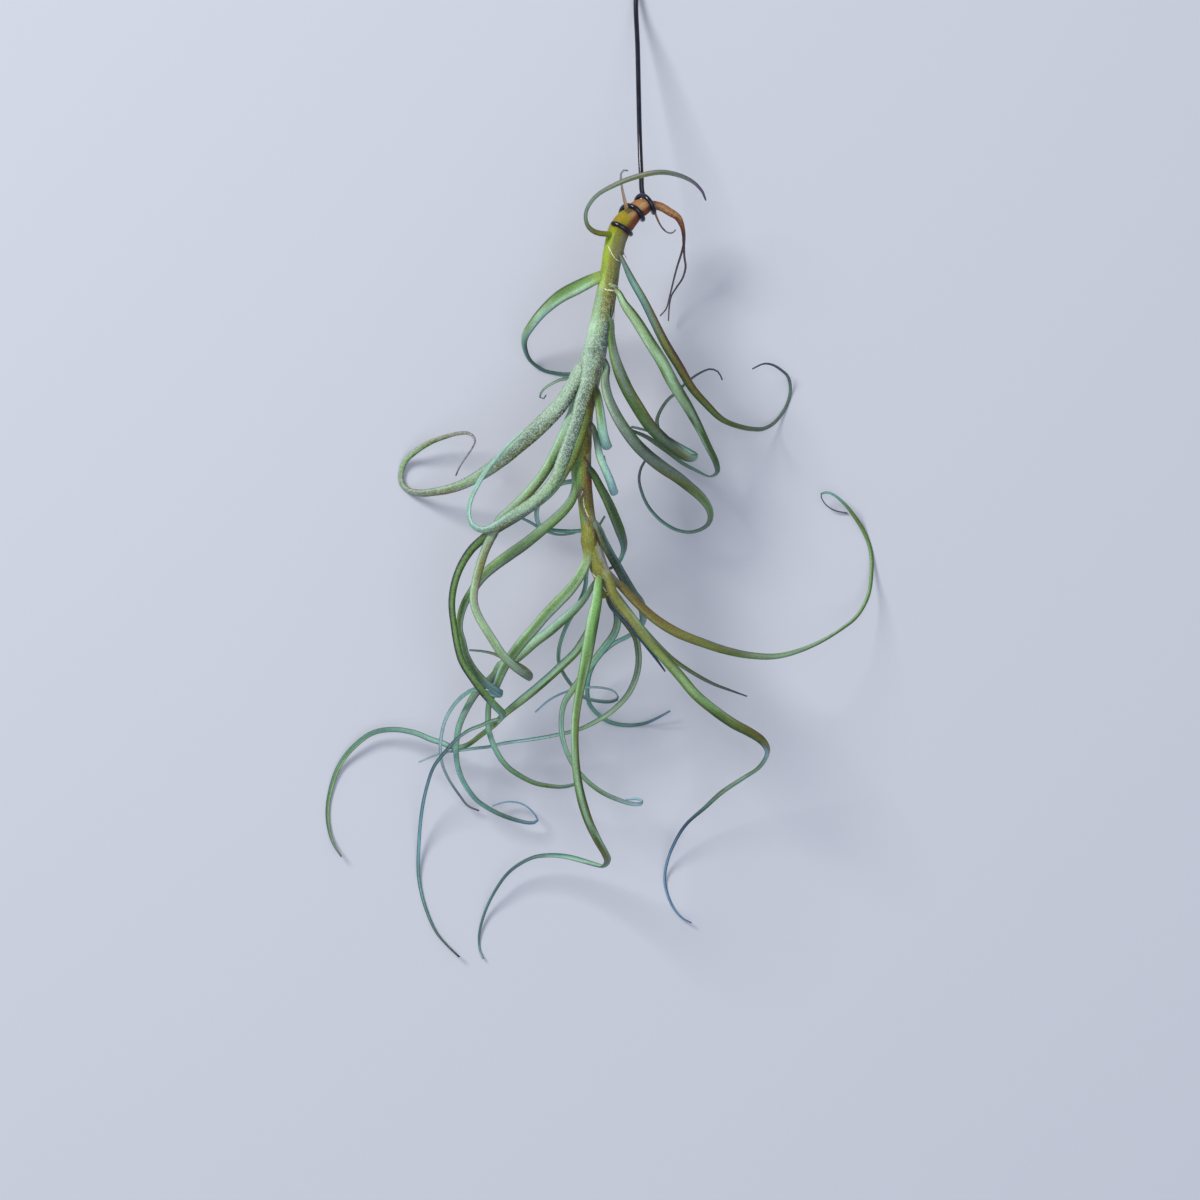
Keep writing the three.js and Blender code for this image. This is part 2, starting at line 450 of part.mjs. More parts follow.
      [0, 1.8], [0.1, 2.8], [0.25, 3.2], [0.4, 2.8], [0.5, 2.2], [0.6, 2], [0.7, 1.9], [0.8, 1.9],
      [0.9, 1.7], [1, 0.8],
    ],
    line: [
      [1.8, 13, 59], [2.6, 6.4, 53.6], [4.2, 1, 50.6], [6.6, -4.2, 48.6], [7, -9, 47],
      [5.6, -13.8, 45.4], [1.4, -19.5, 44], [-2.8, -25, 42.5], [-6.8, -30.3, 41], [-11.7, -37, 39.4],
      [-14.6, -42, 38], [-15.6, -48.8, 36.6], [-15.1, -55.4, 35], [-13.1, -61.8, 33.5],
      [-11.1, -65.8, 32.2], [-7.3, -70.8, 30.6], [-0.1, -77, 28], [8.2, -80.9, 26], [14.5, -82.5, 24],
      [17.6, -81.8, 22], [15.6, -80.4, 20], [10.5, -80.7, 19],
    ],
  },
  // Leaf behind the tip that reaches furthest left, its arc resting on the surface
  leaf_28: {
    side: -1, color: 0x78a05a,
    widths: [
      [0, 2.4], [0.1, 3.2], [0.2, 3.5], [0.33, 3.4], [0.4, 2.4], [0.48, 1.9], [0.55, 2.4], [0.65, 2.1],
      [0.75, 2], [0.85, 1.8], [0.93, 1.4], [1, 0.6],
    ],
    line: [
      [1.4, 9, 58.8], [-0.9, 1, 54.8], [-2.8, -6, 51.8], [-4.4, -12, 49.6], [-6.9, -16.6, 47.4],
      [-9.8, -20.9, 45], [-16.2, -27.1, 40.5], [-20.2, -30.8, 38], [-26.4, -36.2, 35],
      [-32.5, -41.1, 31.4], [-38.7, -46.2, 28], [-42.8, -50.4, 25.6], [-47.9, -54.4, 23],
      [-53.8, -58.7, 19.6], [-59.1, -59.7, 17.6], [-63.8, -57.8, 15.6], [-67.8, -56.7, 14],
      [-75.2, -53.8, 11.5], [-84.2, -52.5, 8.5], [-92.6, -54.1, 6], [-100.2, -59.8, 4],
      [-106.1, -67.6, 1.8], [-109.6, -77.6, 0.8], [-110.8, -87.2, 0.7], [-109.7, -95.2, 1.2],
      [-107.9, -99.9, 3], [-105, -104.2, 4.5],
    ],
  },
  // Dead tip of an old leaf, dry and curled over like a crook
  dry_leaf: {
    side: 1, color: 0xb49a6d,
    widths: [
      [0, 1.5], [0.3, 1.2], [0.55, 0.9], [0.8, 0.8], [1, 0.6],
    ],
    line: [
      [10.2, 151.6, 42.4], [9.7, 153, 46.4], [9.7, 156.4, 47.4], [9.2, 163.4, 48.4], [8.4, 168.4, 49.6],
      [8.6, 171.4, 49.4], [9.8, 172.4, 48.4], [11.2, 172.2, 47.6],
    ],
  },
};

// Root: a stump that thins from ROOT_RADIUS and splits into two fibres, and a curled side rootlet
const ROOT_SIDES = 7;
const ROOT_STEP = 3;
const ROOT_RADIUS = [
  [0, 1.6],
  [0.3, 1.6],
  [0.5, 1.25],
  [0.7, 0.9],
  [1, 0.6],
];
const FIBRE_RADIUS = [
  [0, 0.55],
  [1, 0.35],
];
const ROOT_STUMP = [
  [18.6, 159, 39.8],
  [24, 158.2, 39],
  [28, 156, 38],
  [31.2, 154, 36.5],
  [32.8, 151.2, 34.5],
  [33.7, 147.4, 31],
  [33.8, 143.2, 27],
];
const ROOT_FIBRES = [
  [
    [33.8, 143.6, 27.4],
    [33, 140.4, 24.5],
    [30.8, 133.3, 19],
    [28.4, 123.7, 13.4],
    [26.8, 118, 11],
    [24.4, 115.2, 10],
  ],
  [
    [33.8, 143.6, 27.4],
    [34.1, 138.5, 23.5],
    [34.6, 134.5, 20],
    [33.4, 130.2, 16],
    [31, 126.6, 12],
    [29, 123.4, 9],
    [28.2, 119.8, 6.6],
    [27.8, 113.4, 4],
  ],
  [
    [23, 158.2, 38.9],
    [23.3, 155.8, 37.8],
    [23.7, 153.4, 36.4],
    [24.6, 150.7, 34.6],
    [26.8, 148.3, 33],
    [28.8, 147.7, 32.4],
    [30.5, 148.4, 32],
    [29.5, 151, 31.6],
  ],
];

// Wire: three turns round the foot of the stem, a straight run down to the surface, and a hook
const WIRE_RADIUS = 1;
const WIRE_SIDES = 8;
const WIRE_STEP = 2.6;
const COIL_RADIUS = 4.4;
const COIL_POINTS = 31;
const COIL_ANGLES = [-Math.PI / 3, (29 / 6) * Math.PI];
const COIL_SPAN = [0.0045, 0.11];
const WIRE_RUN = [
  [17.2, 163.4, 34.4],
  [16.6, 171, 34.4],
  [16, 186, 30.6],
  [15.6, 205, 22],
  [15.2, 225, 12.6],
  [14.6, 239, 5.2],
];
const HOOK_RADIUS = 6;
const HOOK_ANGLE = (250 / 180) * Math.PI;
const HOOK_POINTS = 9;
const HOOK_CENTRE = new THREE.Vector3(8.4, 252, WIRE_RADIUS);

const STEM_COLOR = 0x9a9f5c;
const ROOT_COLOR = 0x9c6233;
const WIRE_COLOR = 0x15171c;

// The middle of the plant's footprint, and the height of its lowest point, in the lines' own frame
const FOOTPRINT_MIDDLE = [-0.12, 56.43];
const LOWEST = -0.11;

// The value at share t of a graph given as [share, value] pairs.
function graph(pairs, t) {
  const next = Math.max(1, pairs.findIndex(([share]) => share >= t));
  const [[t0, v0], [t1, v1]] = [pairs[next - 1], pairs[next]];
  return THREE.MathUtils.lerp(v0, v1, (t - t0) / (t1 - t0));
}

function curveThrough(points) {
  const places = points.map((p) => (p.isVector3 ? p : new THREE.Vector3(...p)));
  return new THREE.CatmullRomCurve3(places, false, "centripetal");
}

// A centre, an across and an out direction at each of steps + 1 stations. The directions are
// carried along the curve, and levelling turns across towards the horizontal where it runs level.
function framesAlong(curve, steps, side, levelling) {
  const frames = [];
  let across;
  for (let k = 0; k <= steps; k++) {
    const centre = curve.getPointAt(k / steps);
    const tangent = curve.getTangentAt(k / steps);
    const level = UP.clone().cross(tangent);
    across = across || level.clone().multiplyScalar(side);
    const turn = across.dot(level) < 0 ? -levelling : levelling;
    across.addScaledVector(level, turn);
    across.addScaledVector(tangent, -across.dot(tangent)).normalize();
    frames.push({ centre, across: across.clone(), out: tangent.clone().cross(across) });
  }
  return frames;
}

// A closed cylinder bent along the curve. section(t, x, z) gives the across and out offsets, in mm,
// of the point x, z of the unit circle at share t of the length.
function bentAlong(curve, sides, steps, section, side = 1, levelling = 0) {
  const straight = new THREE.CylinderGeometry(1, 1, 1, sides, steps);
  straight.deleteAttribute("normal");
  straight.deleteAttribute("uv");
  const bent = mergeVertices(straight, MERGE);
  const position = bent.getAttribute("position");
  const frames = framesAlong(curve, steps, side, levelling);
  for (let i = 0; i < position.count; i++) {
    const t = 0.5 - position.getY(i);
    const frame = frames[Math.round(t * steps)];
    const [across, out] = section(t, position.getX(i), position.getZ(i));
    const place = frame.centre.clone();
    place.addScaledVector(frame.across, across).addScaledVector(frame.out, out);
    position.setXYZ(i, ...place);
  }
  bent.computeVertexNormals();
  return bent;
}

function roundSection(radius) {
  return (t, x, z) => [x * radius(t), z * radius(t)];
}

function toSolid(geometry) {
  const vertProperties = geometry.getAttribute("position").array;
  const triVerts = new Uint32Array(geometry.index.array);
  return new library.Manifold(new library.Mesh({ numProp: 3, vertProperties, triVerts }));
}

// The largest body of a solid, as a three.js geometry.
function toGeometry(solid) {
  const bodies = solid.decompose().sort((a, b) => b.volume() - a.volume());
  const { vertProperties, triVerts } = bodies[0].getMesh();
  const geometry = new THREE.BufferGeometry();
  geometry.setAttribute("position", new THREE.BufferAttribute(vertProperties, 3));
  geometry.setIndex(new THREE.BufferAttribute(triVerts, 1));
  geometry.computeVertexNormals();
  return geometry;
}

function stemGeometry() {
  const curve = curveThrough(STEM_LINE);
  const steps = Math.round(curve.getLength() / STEM_STEP);
  const radius = (t) => graph(STEM_RADIUS, t) + SHEATH_RIM * ((t * SHEATHS) % 1);
  return bentAlong(curve, STEM_SIDES, steps, roundSection(radius));
}

// The room that the stem takes with its rims, larger all round by the clearance.
function stemSpaceGeometry() {
  const line = STEM_LINE.map((p) => new THREE.Vector3(...p));
  const foot = line[0].clone().sub(line[1]).setLength(CLEARANCE);
  const head = line.at(-1).clone().sub(line.at(-2)).setLength(CLEARANCE);
  line[0].add(foot);
  line.at(-1).add(head);
  const curve = curveThrough(line);
  const steps = Math.round(curve.getLength() / STEM_STEP);
  const radius = (t) => graph(STEM_RADIUS, t) + SHEATH_RIM + CLEARANCE;
  return bentAlong(curve, STEM_SIDES, steps, roundSection(radius));
}

function leafGeometry({ widths, side, line }) {
  const curve = curveThrough(line);
  const wanted = Math.round(curve.getLength() / LEAF_STEP);
  const steps = THREE.MathUtils.clamp(wanted, LEAF_STEPS_LEAST, LEAF_STEPS_MOST);
  const section = (t, x, z) => {
    const wide = Math.max(graph(widths, t), LEAST_WIDTH);
    const thick = THREE.MathUtils.clamp(wide * THICKNESS_SHARE, ...BLADE_THICKNESS);
    const channel = wide * CHANNEL_SHARE * (1 - x * x);
    return [(x * wide) / 2 / SIDE_REACH, (z * thick) / 2 + channel];
  };
  return bentAlong(curve, LEAF_SIDES, steps, section, side, LEVELLING);
}

function rootSolid() {
  const radii = [ROOT_RADIUS, ...ROOT_FIBRES.map(() => FIBRE_RADIUS)];
  const parts = [ROOT_STUMP, ...ROOT_FIBRES].map((line, i) => {
    const curve = curveThrough(line);
    const steps = Math.round(curve.getLength() / ROOT_STEP);
    const section = roundSection((t) => graph(radii[i], t));
    return toSolid(bentAlong(curve, ROOT_SIDES, steps, section));
  });
  return parts.reduce((joined, part) => joined.add(part));
}

// The wire's middle line, from the free end of its hook to the end of its last turn.
function wirePoints() {
  const hook = [];
  for (let i = HOOK_POINTS; i >= 0; i--) {
    const turn = (i / HOOK_POINTS) * HOOK_ANGLE;
    const offset = new THREE.Vector3(Math.cos(turn), Math.sin(turn), 0);
    hook.push(HOOK_CENTRE.clone().addScaledVector(offset, HOOK_RADIUS));
  }
  const stem = curveThrough(STEM_LINE);
  const coil = [];
  for (let i = 0; i <= COIL_POINTS; i++) {
    const along = THREE.MathUtils.lerp(...COIL_SPAN, i / COIL_POINTS);
    const turn = THREE.MathUtils.lerp(...COIL_ANGLES, i / COIL_POINTS);
    const axis = stem.getTangentAt(along);
    const right = UP.clone().cross(axis).normalize();
    const front = axis.clone().cross(right);
    const point = stem.getPointAt(along);
    point.addScaledVector(right, COIL_RADIUS * Math.cos(turn));
    point.addScaledVector(front, COIL_RADIUS * Math.sin(turn));
    coil.push(point);
  }
  return [...hook, ...WIRE_RUN.toReversed(), ...coil];
}

function wireGeometry() {
  const curve = curveThrough(wirePoints());
  const steps = Math.round(curve.getLength() / WIRE_STEP);
  return bentAlong(curve, WIRE_SIDES, steps, roundSection(() => WIRE_RADIUS));
}

const plant = new THREE.Group();

function addPiece(name, geometry, color, roughness, metalness = 0) {
  const material = new THREE.MeshStandardMaterial({ color, roughness, metalness });
  const piece = new THREE.Mesh(geometry, material);
  piece.name = name;
  plant.add(piece);
}

addPiece("stem", stemGeometry(), STEM_COLOR, 0.6);

// Leaves and root are cut back from the stem by the clearance
const stemSpace = toSolid(stemSpaceGeometry());
for (const [name, leaf] of Object.entries(LEAVES)) {
  const blade = toSolid(leafGeometry(leaf)).subtract(stemSpace);
  addPiece(name, toGeometry(blade), leaf.color, 0.55);
}
addPiece("root", toGeometry(rootSolid().subtract(stemSpace)), ROOT_COLOR, 0.85);
addPiece("wire_hanger", wireGeometry(), WIRE_COLOR, 0.35);

plant.position.set(-FOOTPRINT_MIDDLE[0], -FOOTPRINT_MIDDLE[1], -LOWEST);

const part = new THREE.Group();
part.add(plant);
export default part;
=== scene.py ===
# %% [markdown]
# # A wonga air plant, from sheath to thread
# This plant grows in the air. Its stem is thin, and what looks like a thick stem is leaf bases,
# each a sleeve wrapped round the next. From each sleeve runs a channelled blade that curls and
# thins to a thread. The whole is covered in tiny silver scales, which drink the dew.
# The lesson builds it piece by piece round a fixed frame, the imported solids, in metres.

# %% Load the frame
import math
from functools import partial

import bmesh
import bpy
import numpy as np
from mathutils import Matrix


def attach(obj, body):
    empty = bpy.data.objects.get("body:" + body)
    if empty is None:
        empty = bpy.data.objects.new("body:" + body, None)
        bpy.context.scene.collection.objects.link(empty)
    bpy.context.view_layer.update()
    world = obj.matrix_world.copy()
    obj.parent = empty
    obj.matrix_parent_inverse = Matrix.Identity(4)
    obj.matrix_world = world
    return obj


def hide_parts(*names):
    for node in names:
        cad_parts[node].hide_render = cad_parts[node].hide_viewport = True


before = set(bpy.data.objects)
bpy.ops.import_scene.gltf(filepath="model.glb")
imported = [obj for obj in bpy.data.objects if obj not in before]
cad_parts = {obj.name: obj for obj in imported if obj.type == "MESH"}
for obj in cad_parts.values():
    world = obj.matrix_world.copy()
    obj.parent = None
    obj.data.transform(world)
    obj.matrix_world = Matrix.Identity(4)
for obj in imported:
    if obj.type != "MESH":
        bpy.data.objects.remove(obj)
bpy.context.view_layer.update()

MM = 0.001


# %% [markdown]
# The plant lies on a surface and is seen from straight above, from far away, through a long lens,
# as the picture was taken. Its lines are written in millimetres round the picture's own middle, so
# that x runs right, y up the picture and z towards the eye. FOOTPRINT_MIDDLE and LOWEST carry that
# frame into the part's, whose origin is the middle of the footprint.

# %% Camera
FOOTPRINT_MIDDLE = (-0.12, 56.43)
LOWEST = -0.11
LENS = 250
SENSOR = 36
PICTURE_WIDTH = 480
STEM_HEIGHT = 55


def to_part(places):
    """Rows of x, y, z in the picture's millimetres, in the part's frame and in metres."""
    return (np.asarray(places, float) - (*FOOTPRINT_MIDDLE, LOWEST)) * MM


def add_object(name, data):
    """A new object in the scene, at the origin."""
    thing = bpy.data.objects.new(name, data)
    bpy.context.scene.collection.objects.link(thing)
    return thing


eye_height = STEM_HEIGHT + PICTURE_WIDTH * LENS / SENSOR
camera = add_object("camera", bpy.data.cameras.new("camera"))
camera.data.lens = LENS
camera.data.sensor_width = SENSOR
camera.location = to_part((0, 0, eye_height))
bpy.context.scene.camera = camera
print("camera", [round(c, 3) for c in camera.location])

# %% [markdown]
# Every node of a material is added by one small function, which sets its sockets and links them.
# Colours are written as the hex values that a screen shows, and one function turns them to the
# linear numbers that light is added up in.

# %% Colours and nodes


def linear(hex_code):
    """A colour written as sRGB hex, as linear red, green, blue and a full alpha."""
    shares = [int(hex_code[i : i + 2], 16) / 255 for i in (1, 3, 5)]
    return tuple(c / 12.92 if c <= 0.04045 else ((c + 0.055) / 1.055) ** 2.4 for c in shares) + (1,)


def add_node(tree, kind, settings=(), **sockets):
    """Adds a node. A socket, by its name or as _ and its number, is given a value, another node's
    output to link from, or another node, which stands for its first output."""
    node = tree.nodes.new("ShaderNode" + kind)
    for name, value in dict(settings).items():
        setattr(node, name, value)
    for name, value in sockets.items():
        key = int(name[1:]) if name[1:].isdigit() else name.replace("_", " ")
        if isinstance(value, bpy.types.Node):
            value = value.outputs[0]
        if isinstance(value, bpy.types.NodeSocket):
            tree.links.new(value, node.inputs[key])
        else:
            node.inputs[key].default_value = value
    return node


def new_material(name):
    """An empty node material, and add_node for its tree."""
    material = bpy.data.materials.new(name)
    material.use_nodes = True
    material.node_tree.nodes.clear()
    return material, partial(add_node, material.node_tree)


# %% [markdown]
# The surface is a plain pale floor, cool grey as painted plaster. One broad lamp stands high on
# the upper left, as a window would, and a larger, weaker one hangs overhead, so that shadows are
# soft. A pale sky fills in the rest.

# %% Floor and light
FLOOR_RADIUS = 9
FLOOR_COLOR = "#b3b8c5"
SKY_COLOR = "#e4e8f0"
SKY_STRENGTH = 0.5
LAMPS = {
    # name: place in metres, size in metres, power in watts, colour
    "window": ((-1.5, 1.3, 1.9), 1.0, 70, "#fffaf2"),
    "ceiling": ((0.4, -0.3, 2.8), 2.2, 27, "#f2f5ff"),
}

floor_mesh = bpy.data.meshes.new("floor")
floor_shape = bmesh.new()
bmesh.ops.create_circle(floor_shape, cap_ends=True, segments=64, radius=FLOOR_RADIUS)
floor_shape.to_mesh(floor_mesh)
floor_shape.free()
material, add = new_material("painted_plaster")
add("OutputMaterial", _0=add("BsdfPrincipled", Base_Color=linear(FLOOR_COLOR), Roughness=0.8))
floor_mesh.materials.append(material)
add_object("floor", floor_mesh)

world = bpy.data.worlds.new("sky")
world.use_nodes = True
background = world.node_tree.nodes["Background"]
background.inputs["Color"].default_value = linear(SKY_COLOR)
background.inputs["Strength"].default_value = SKY_STRENGTH
bpy.context.scene.world = world

for name, (place, size, power, color) in LAMPS.items():
    lamp = add_object(name, bpy.data.lights.new(name, "AREA"))
    lamp.data.shape = "DISK"
    lamp.data.size = size
    lamp.data.energy = power
    lamp.data.color = linear(color)[:3]
    lamp.location = place
    lamp.rotation_euler = (-lamp.location).to_track_quat("-Z", "Y").to_euler()
bpy.context.scene.view_settings.view_transform = "Standard"
print(len(LAMPS), "lamps")

# %% [markdown]
# A leaf, a root and a wire are all a line with a section carried along it. The line goes smoothly
# through a few chosen points. It is a centripetal curve, which doesn't overshoot where the points
# lie close together, as they do at a fold. It is cut into equal steps.

# %% A smooth line through points
UP = np.array((0.0, 0.0, 1.0))
FINE = 24


def unit(rows):
    """Rows of x, y, z, or one of them, each with a length of one."""
    return rows / np.linalg.norm(rows, axis=-1, keepdims=True)


def line_through(points, step):
    """Places at equal steps on a centripetal curve through the points, as rows of x, y, z."""
    p = np.array(points, float)
    p = np.vstack([2 * p[0] - p[1], p, 2 * p[-1] - p[-2]])
    moves = np.diff(p, axis=0)
    spans = np.sqrt(np.linalg.norm(moves, axis=1))
    share = np.linspace(0, 1, FINE, endpoint=False)[:, None]
    dense = []
    for i in range(1, len(p) - 2):
        before, move, after = moves[i - 1], moves[i], moves[i + 1]
        a, b, c = spans[i - 1 : i + 2]
        leave = b * (before / a - (before + move) / (a + b) + move / b)
        arrive = b * (move / b - (move + after) / (b + c) + after / c)
        cubic = leave + arrive - 2 * move
        square = 3 * move - 2 * leave - arrive
        dense.append(p[i] + leave * share + square * share**2 + cubic * share**3)
    dense = np.vstack([*dense, p[-2:-1]])
    run = np.append(0, np.cumsum(np.linalg.norm(np.diff(dense, axis=0), axis=1)))
    wanted = np.linspace(0, run[-1], max(2, round(run[-1] / step)) + 1)
    return np.stack([np.interp(wanted, run, dense[:, k]) for k in range(3)], axis=1)


def steps_to_end(places):
    """How many steps each place is from the nearer end of its line."""
    steps = np.arange(len(places))
    return np.minimum(steps, steps[::-1])


# %% [markdown]
# At each step a leaf needs two more directions: across its blade, and out of its back. They are
# carried from step to step without spinning. A long blade also turns its flat side to the sky
# where it runs level, as its weight does to it, so a little levelling is mixed in at each step.

# %% Directions along a line


def directions_along(places, out, levelling):
    """The tangent, across and out directions at each place, carried along from a first out.
    levelling is the share of turning level in a step, for each place or for all."""
    levelling = np.broadcast_to(levelling, len(places))
    tangents = unit(np.gradient(places, axis=0))
    across = np.cross(out, tangents[0])
    rows = []
    for k, tangent in enumerate(tangents):
        level = np.cross(UP, tangent)
        across = across + level * levelling[k] * (-1 if across @ level < 0 else 1)
        across = unit(across - tangent * (across @ tangent))
        rows.append(across)
    acrosses = np.array(rows)
    return tangents, acrosses, np.cross(tangents, acrosses)


# %% [markdown]
# The mesh starts as a straight cylinder, one unit thick and one unit a step long. Its long edges
# are subdivided into rings, and then each vertex is moved to its place: its ring gives the step
# along the line, and its place on the unit circle gives where it is in the section. What the
# material needs to know about a vertex goes into named layers on the mesh: its colour, how thick
# its scales lie, how papery it is, and its distance across and along the surface in millimetres.

# %% Bend a cylinder along a line
VECTOR_LAYERS = ("tone", "skin")
NUMBER_LAYERS = ("scales", "paper")


def new_shape():
    """An empty bmesh with the layers that the materials read."""
    shape = bmesh.new()
    for name in VECTOR_LAYERS:
        shape.verts.layers.float_vector.new(name)
    for name in NUMBER_LAYERS:
        shape.verts.layers.float.new(name)
    return shape


def bent_cylinder(places, across, out, section, sides):
    """A closed cylinder bent along places, as a bmesh. section(k, x, z) gives the offsets across
    and out, in mm, of the points x, z of the unit circle in ring k. k, x and z are returned too,
    one value for each vertex."""
    steps = len(places) - 1
    shape = new_shape()
    bmesh.ops.create_cone(shape, cap_ends=True, segments=sides, radius1=1, radius2=1, depth=steps)
    lengthwise = [e for e in shape.edges if abs(e.verts[0].co.z - e.verts[1].co.z) > steps / 2]
    bmesh.ops.subdivide_edges(shape, edges=lengthwise, cuts=steps - 1)
    rest = np.array([v.co for v in shape.verts])
    k = np.rint(rest[:, 2] + steps / 2).astype(int)
    x, z = rest[:, 0], rest[:, 1]
    aside, above = section(k, x, z)
    bent = to_part(places[k] + across[k] * aside[:, None] + out[k] * above[:, None])
    for vert, place in zip(shape.verts, bent):
        vert.co = place
    return shape, k, x, z


def paint(shape, **layers):
    """Stores rows of values on the vertices, each under its layer's name."""
    for name, rows in layers.items():
        kind = shape.verts.layers.float_vector if rows.ndim == 2 else shape.verts.layers.float
        layer = kind[name]
        for vert, row in zip(shape.verts, rows):
            vert[layer] = row


def skin_places(across_mm, along_mm):
    """Rows for the skin layer: how far across and along the surface a vertex lies."""
    return np.stack([across_mm, along_mm, np.zeros(len(across_mm))], axis=1)


def add_shape(whole, part):
    """Moves the part's geometry into the whole, by way of a mesh."""
    passing = bpy.data.meshes.new("passing")
    part.to_mesh(passing)
    part.free()
    whole.from_mesh(passing)
    bpy.data.meshes.remove(passing)


print("helpers ready")

# %% [markdown]
# A plant's colours come from what lies under the scales. Young blade is leaf green, where scales
# lie thick it is silver or mint, old bases go olive and brown, and the thin ends, which get most
# sun, turn teal, blue and plum. Mint and silver on the side of a piece towards the lamp are also
# painted highlight, and olive, brown and ink on the side away from it are painted shade. The
# palette names them once. How colours change along a piece is written as text, such as "0 moss
# leaf mint, 0.5 teal": at each share of its length, the colours at one edge, in the middle and at
# the other edge, or one for all three.

# %% Palette
PALETTE = {
    "mint": "#98bd9a", "silver": "#8da892", "sage": "#7e9c72", "leaf": "#5a7e3f",
    "bright": "#6b9b55", "lime": "#859b20", "khaki": "#6f711d", "olive": "#686c34",
    "brown": "#615324", "moss": "#3f5b29", "ink": "#22332a", "slate": "#5f7066", "teal": "#64988c",
    "foam": "#93bdb1", "sea": "#486e69", "haze": "#8cb0bb", "blue": "#6490b0", "navy": "#334562",
    "plum": "#645773", "yellow": "#998709", "pear": "#95b04e", "taupe": "#757150",
    "straw": "#a98560", "dust": "#909089", "bark": "#a06f40", "rust": "#774128", "umber": "#483530",
}
BAND_EDGE = (0.15, 0.5)


def smooth(value, low, high):
    """0 below low, 1 above high, and a smooth rise between them."""
    t = np.clip((value - low) / (high - low), 0, 1)
    return t * t * (3 - 2 * t)


def tone_at(tones, share, side):
    """The colour at each share of the length and each side, -1 to 1, blended between the tones."""
    rows = [row.split() for row in tones.split(",")]
    shares = [float(row[0]) for row in rows]
    names = [row[1:] if len(row) > 2 else row[1:] * 3 for row in rows]
    colors = np.array([[linear(PALETTE[n])[:3] for n in three] for three in names])
    left_color, middle_color, right_color = (
        np.stack([np.interp(share, shares, colors[:, where, c]) for c in range(3)])
        for where in range(3)
    )
    left = smooth(-side, *BAND_EDGE)
    right = smooth(side, *BAND_EDGE)
    return (left_color * left + middle_color * (1 - left - right) + right_color * right).T


# %% [markdown]
# The finished shape becomes an object at the origin, smooth all over. Every piece rides on the one
# body of the part, takes the place of one node of the frame, which is hidden, and wears its
# material.


def finish_piece(name, shape, material, node):
    """Makes the shape an object of the material, which stands for the node of the frame."""
    mesh = bpy.data.meshes.new(name)
    for face in shape.faces:
        face.smooth = True
    shape.to_mesh(mesh)
    shape.free()
    mesh.materials.append(material)
    piece = add_object(name, mesh)
    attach(piece, "root")
    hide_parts(node)
    return piece


# %% [markdown]
# Leaf and sheath have one skin: a smooth green tissue under shield-shaped scales, each a fraction
# of a millimetre wide, which lie loose enough to scatter light. The specks are cells a little
# wider than one scale, so that they show, and gathered in tufts. The tissue is drawn out along the
# blade, which shows as long faint streaks: a noise stretched along the skin layer. The dry rim of
# a sheath fades to paper with brown dots. A dull gloss and a trace of sheen keep it soft.

# %% Skin of leaf and sheath
SCALE_SIZE = 0.42
TUFT_SIZE = 1.0
PATCH_SIZE = 9.0
STREAK_WIDTH = 0.35
STREAK_LENGTH = 14.0
DOT_SIZE = 0.9
SCALE_HEIGHT = 0.12
PAPER_COLOR = "#d6d8c4"
SPECK_COLOR = "#acc6b8"


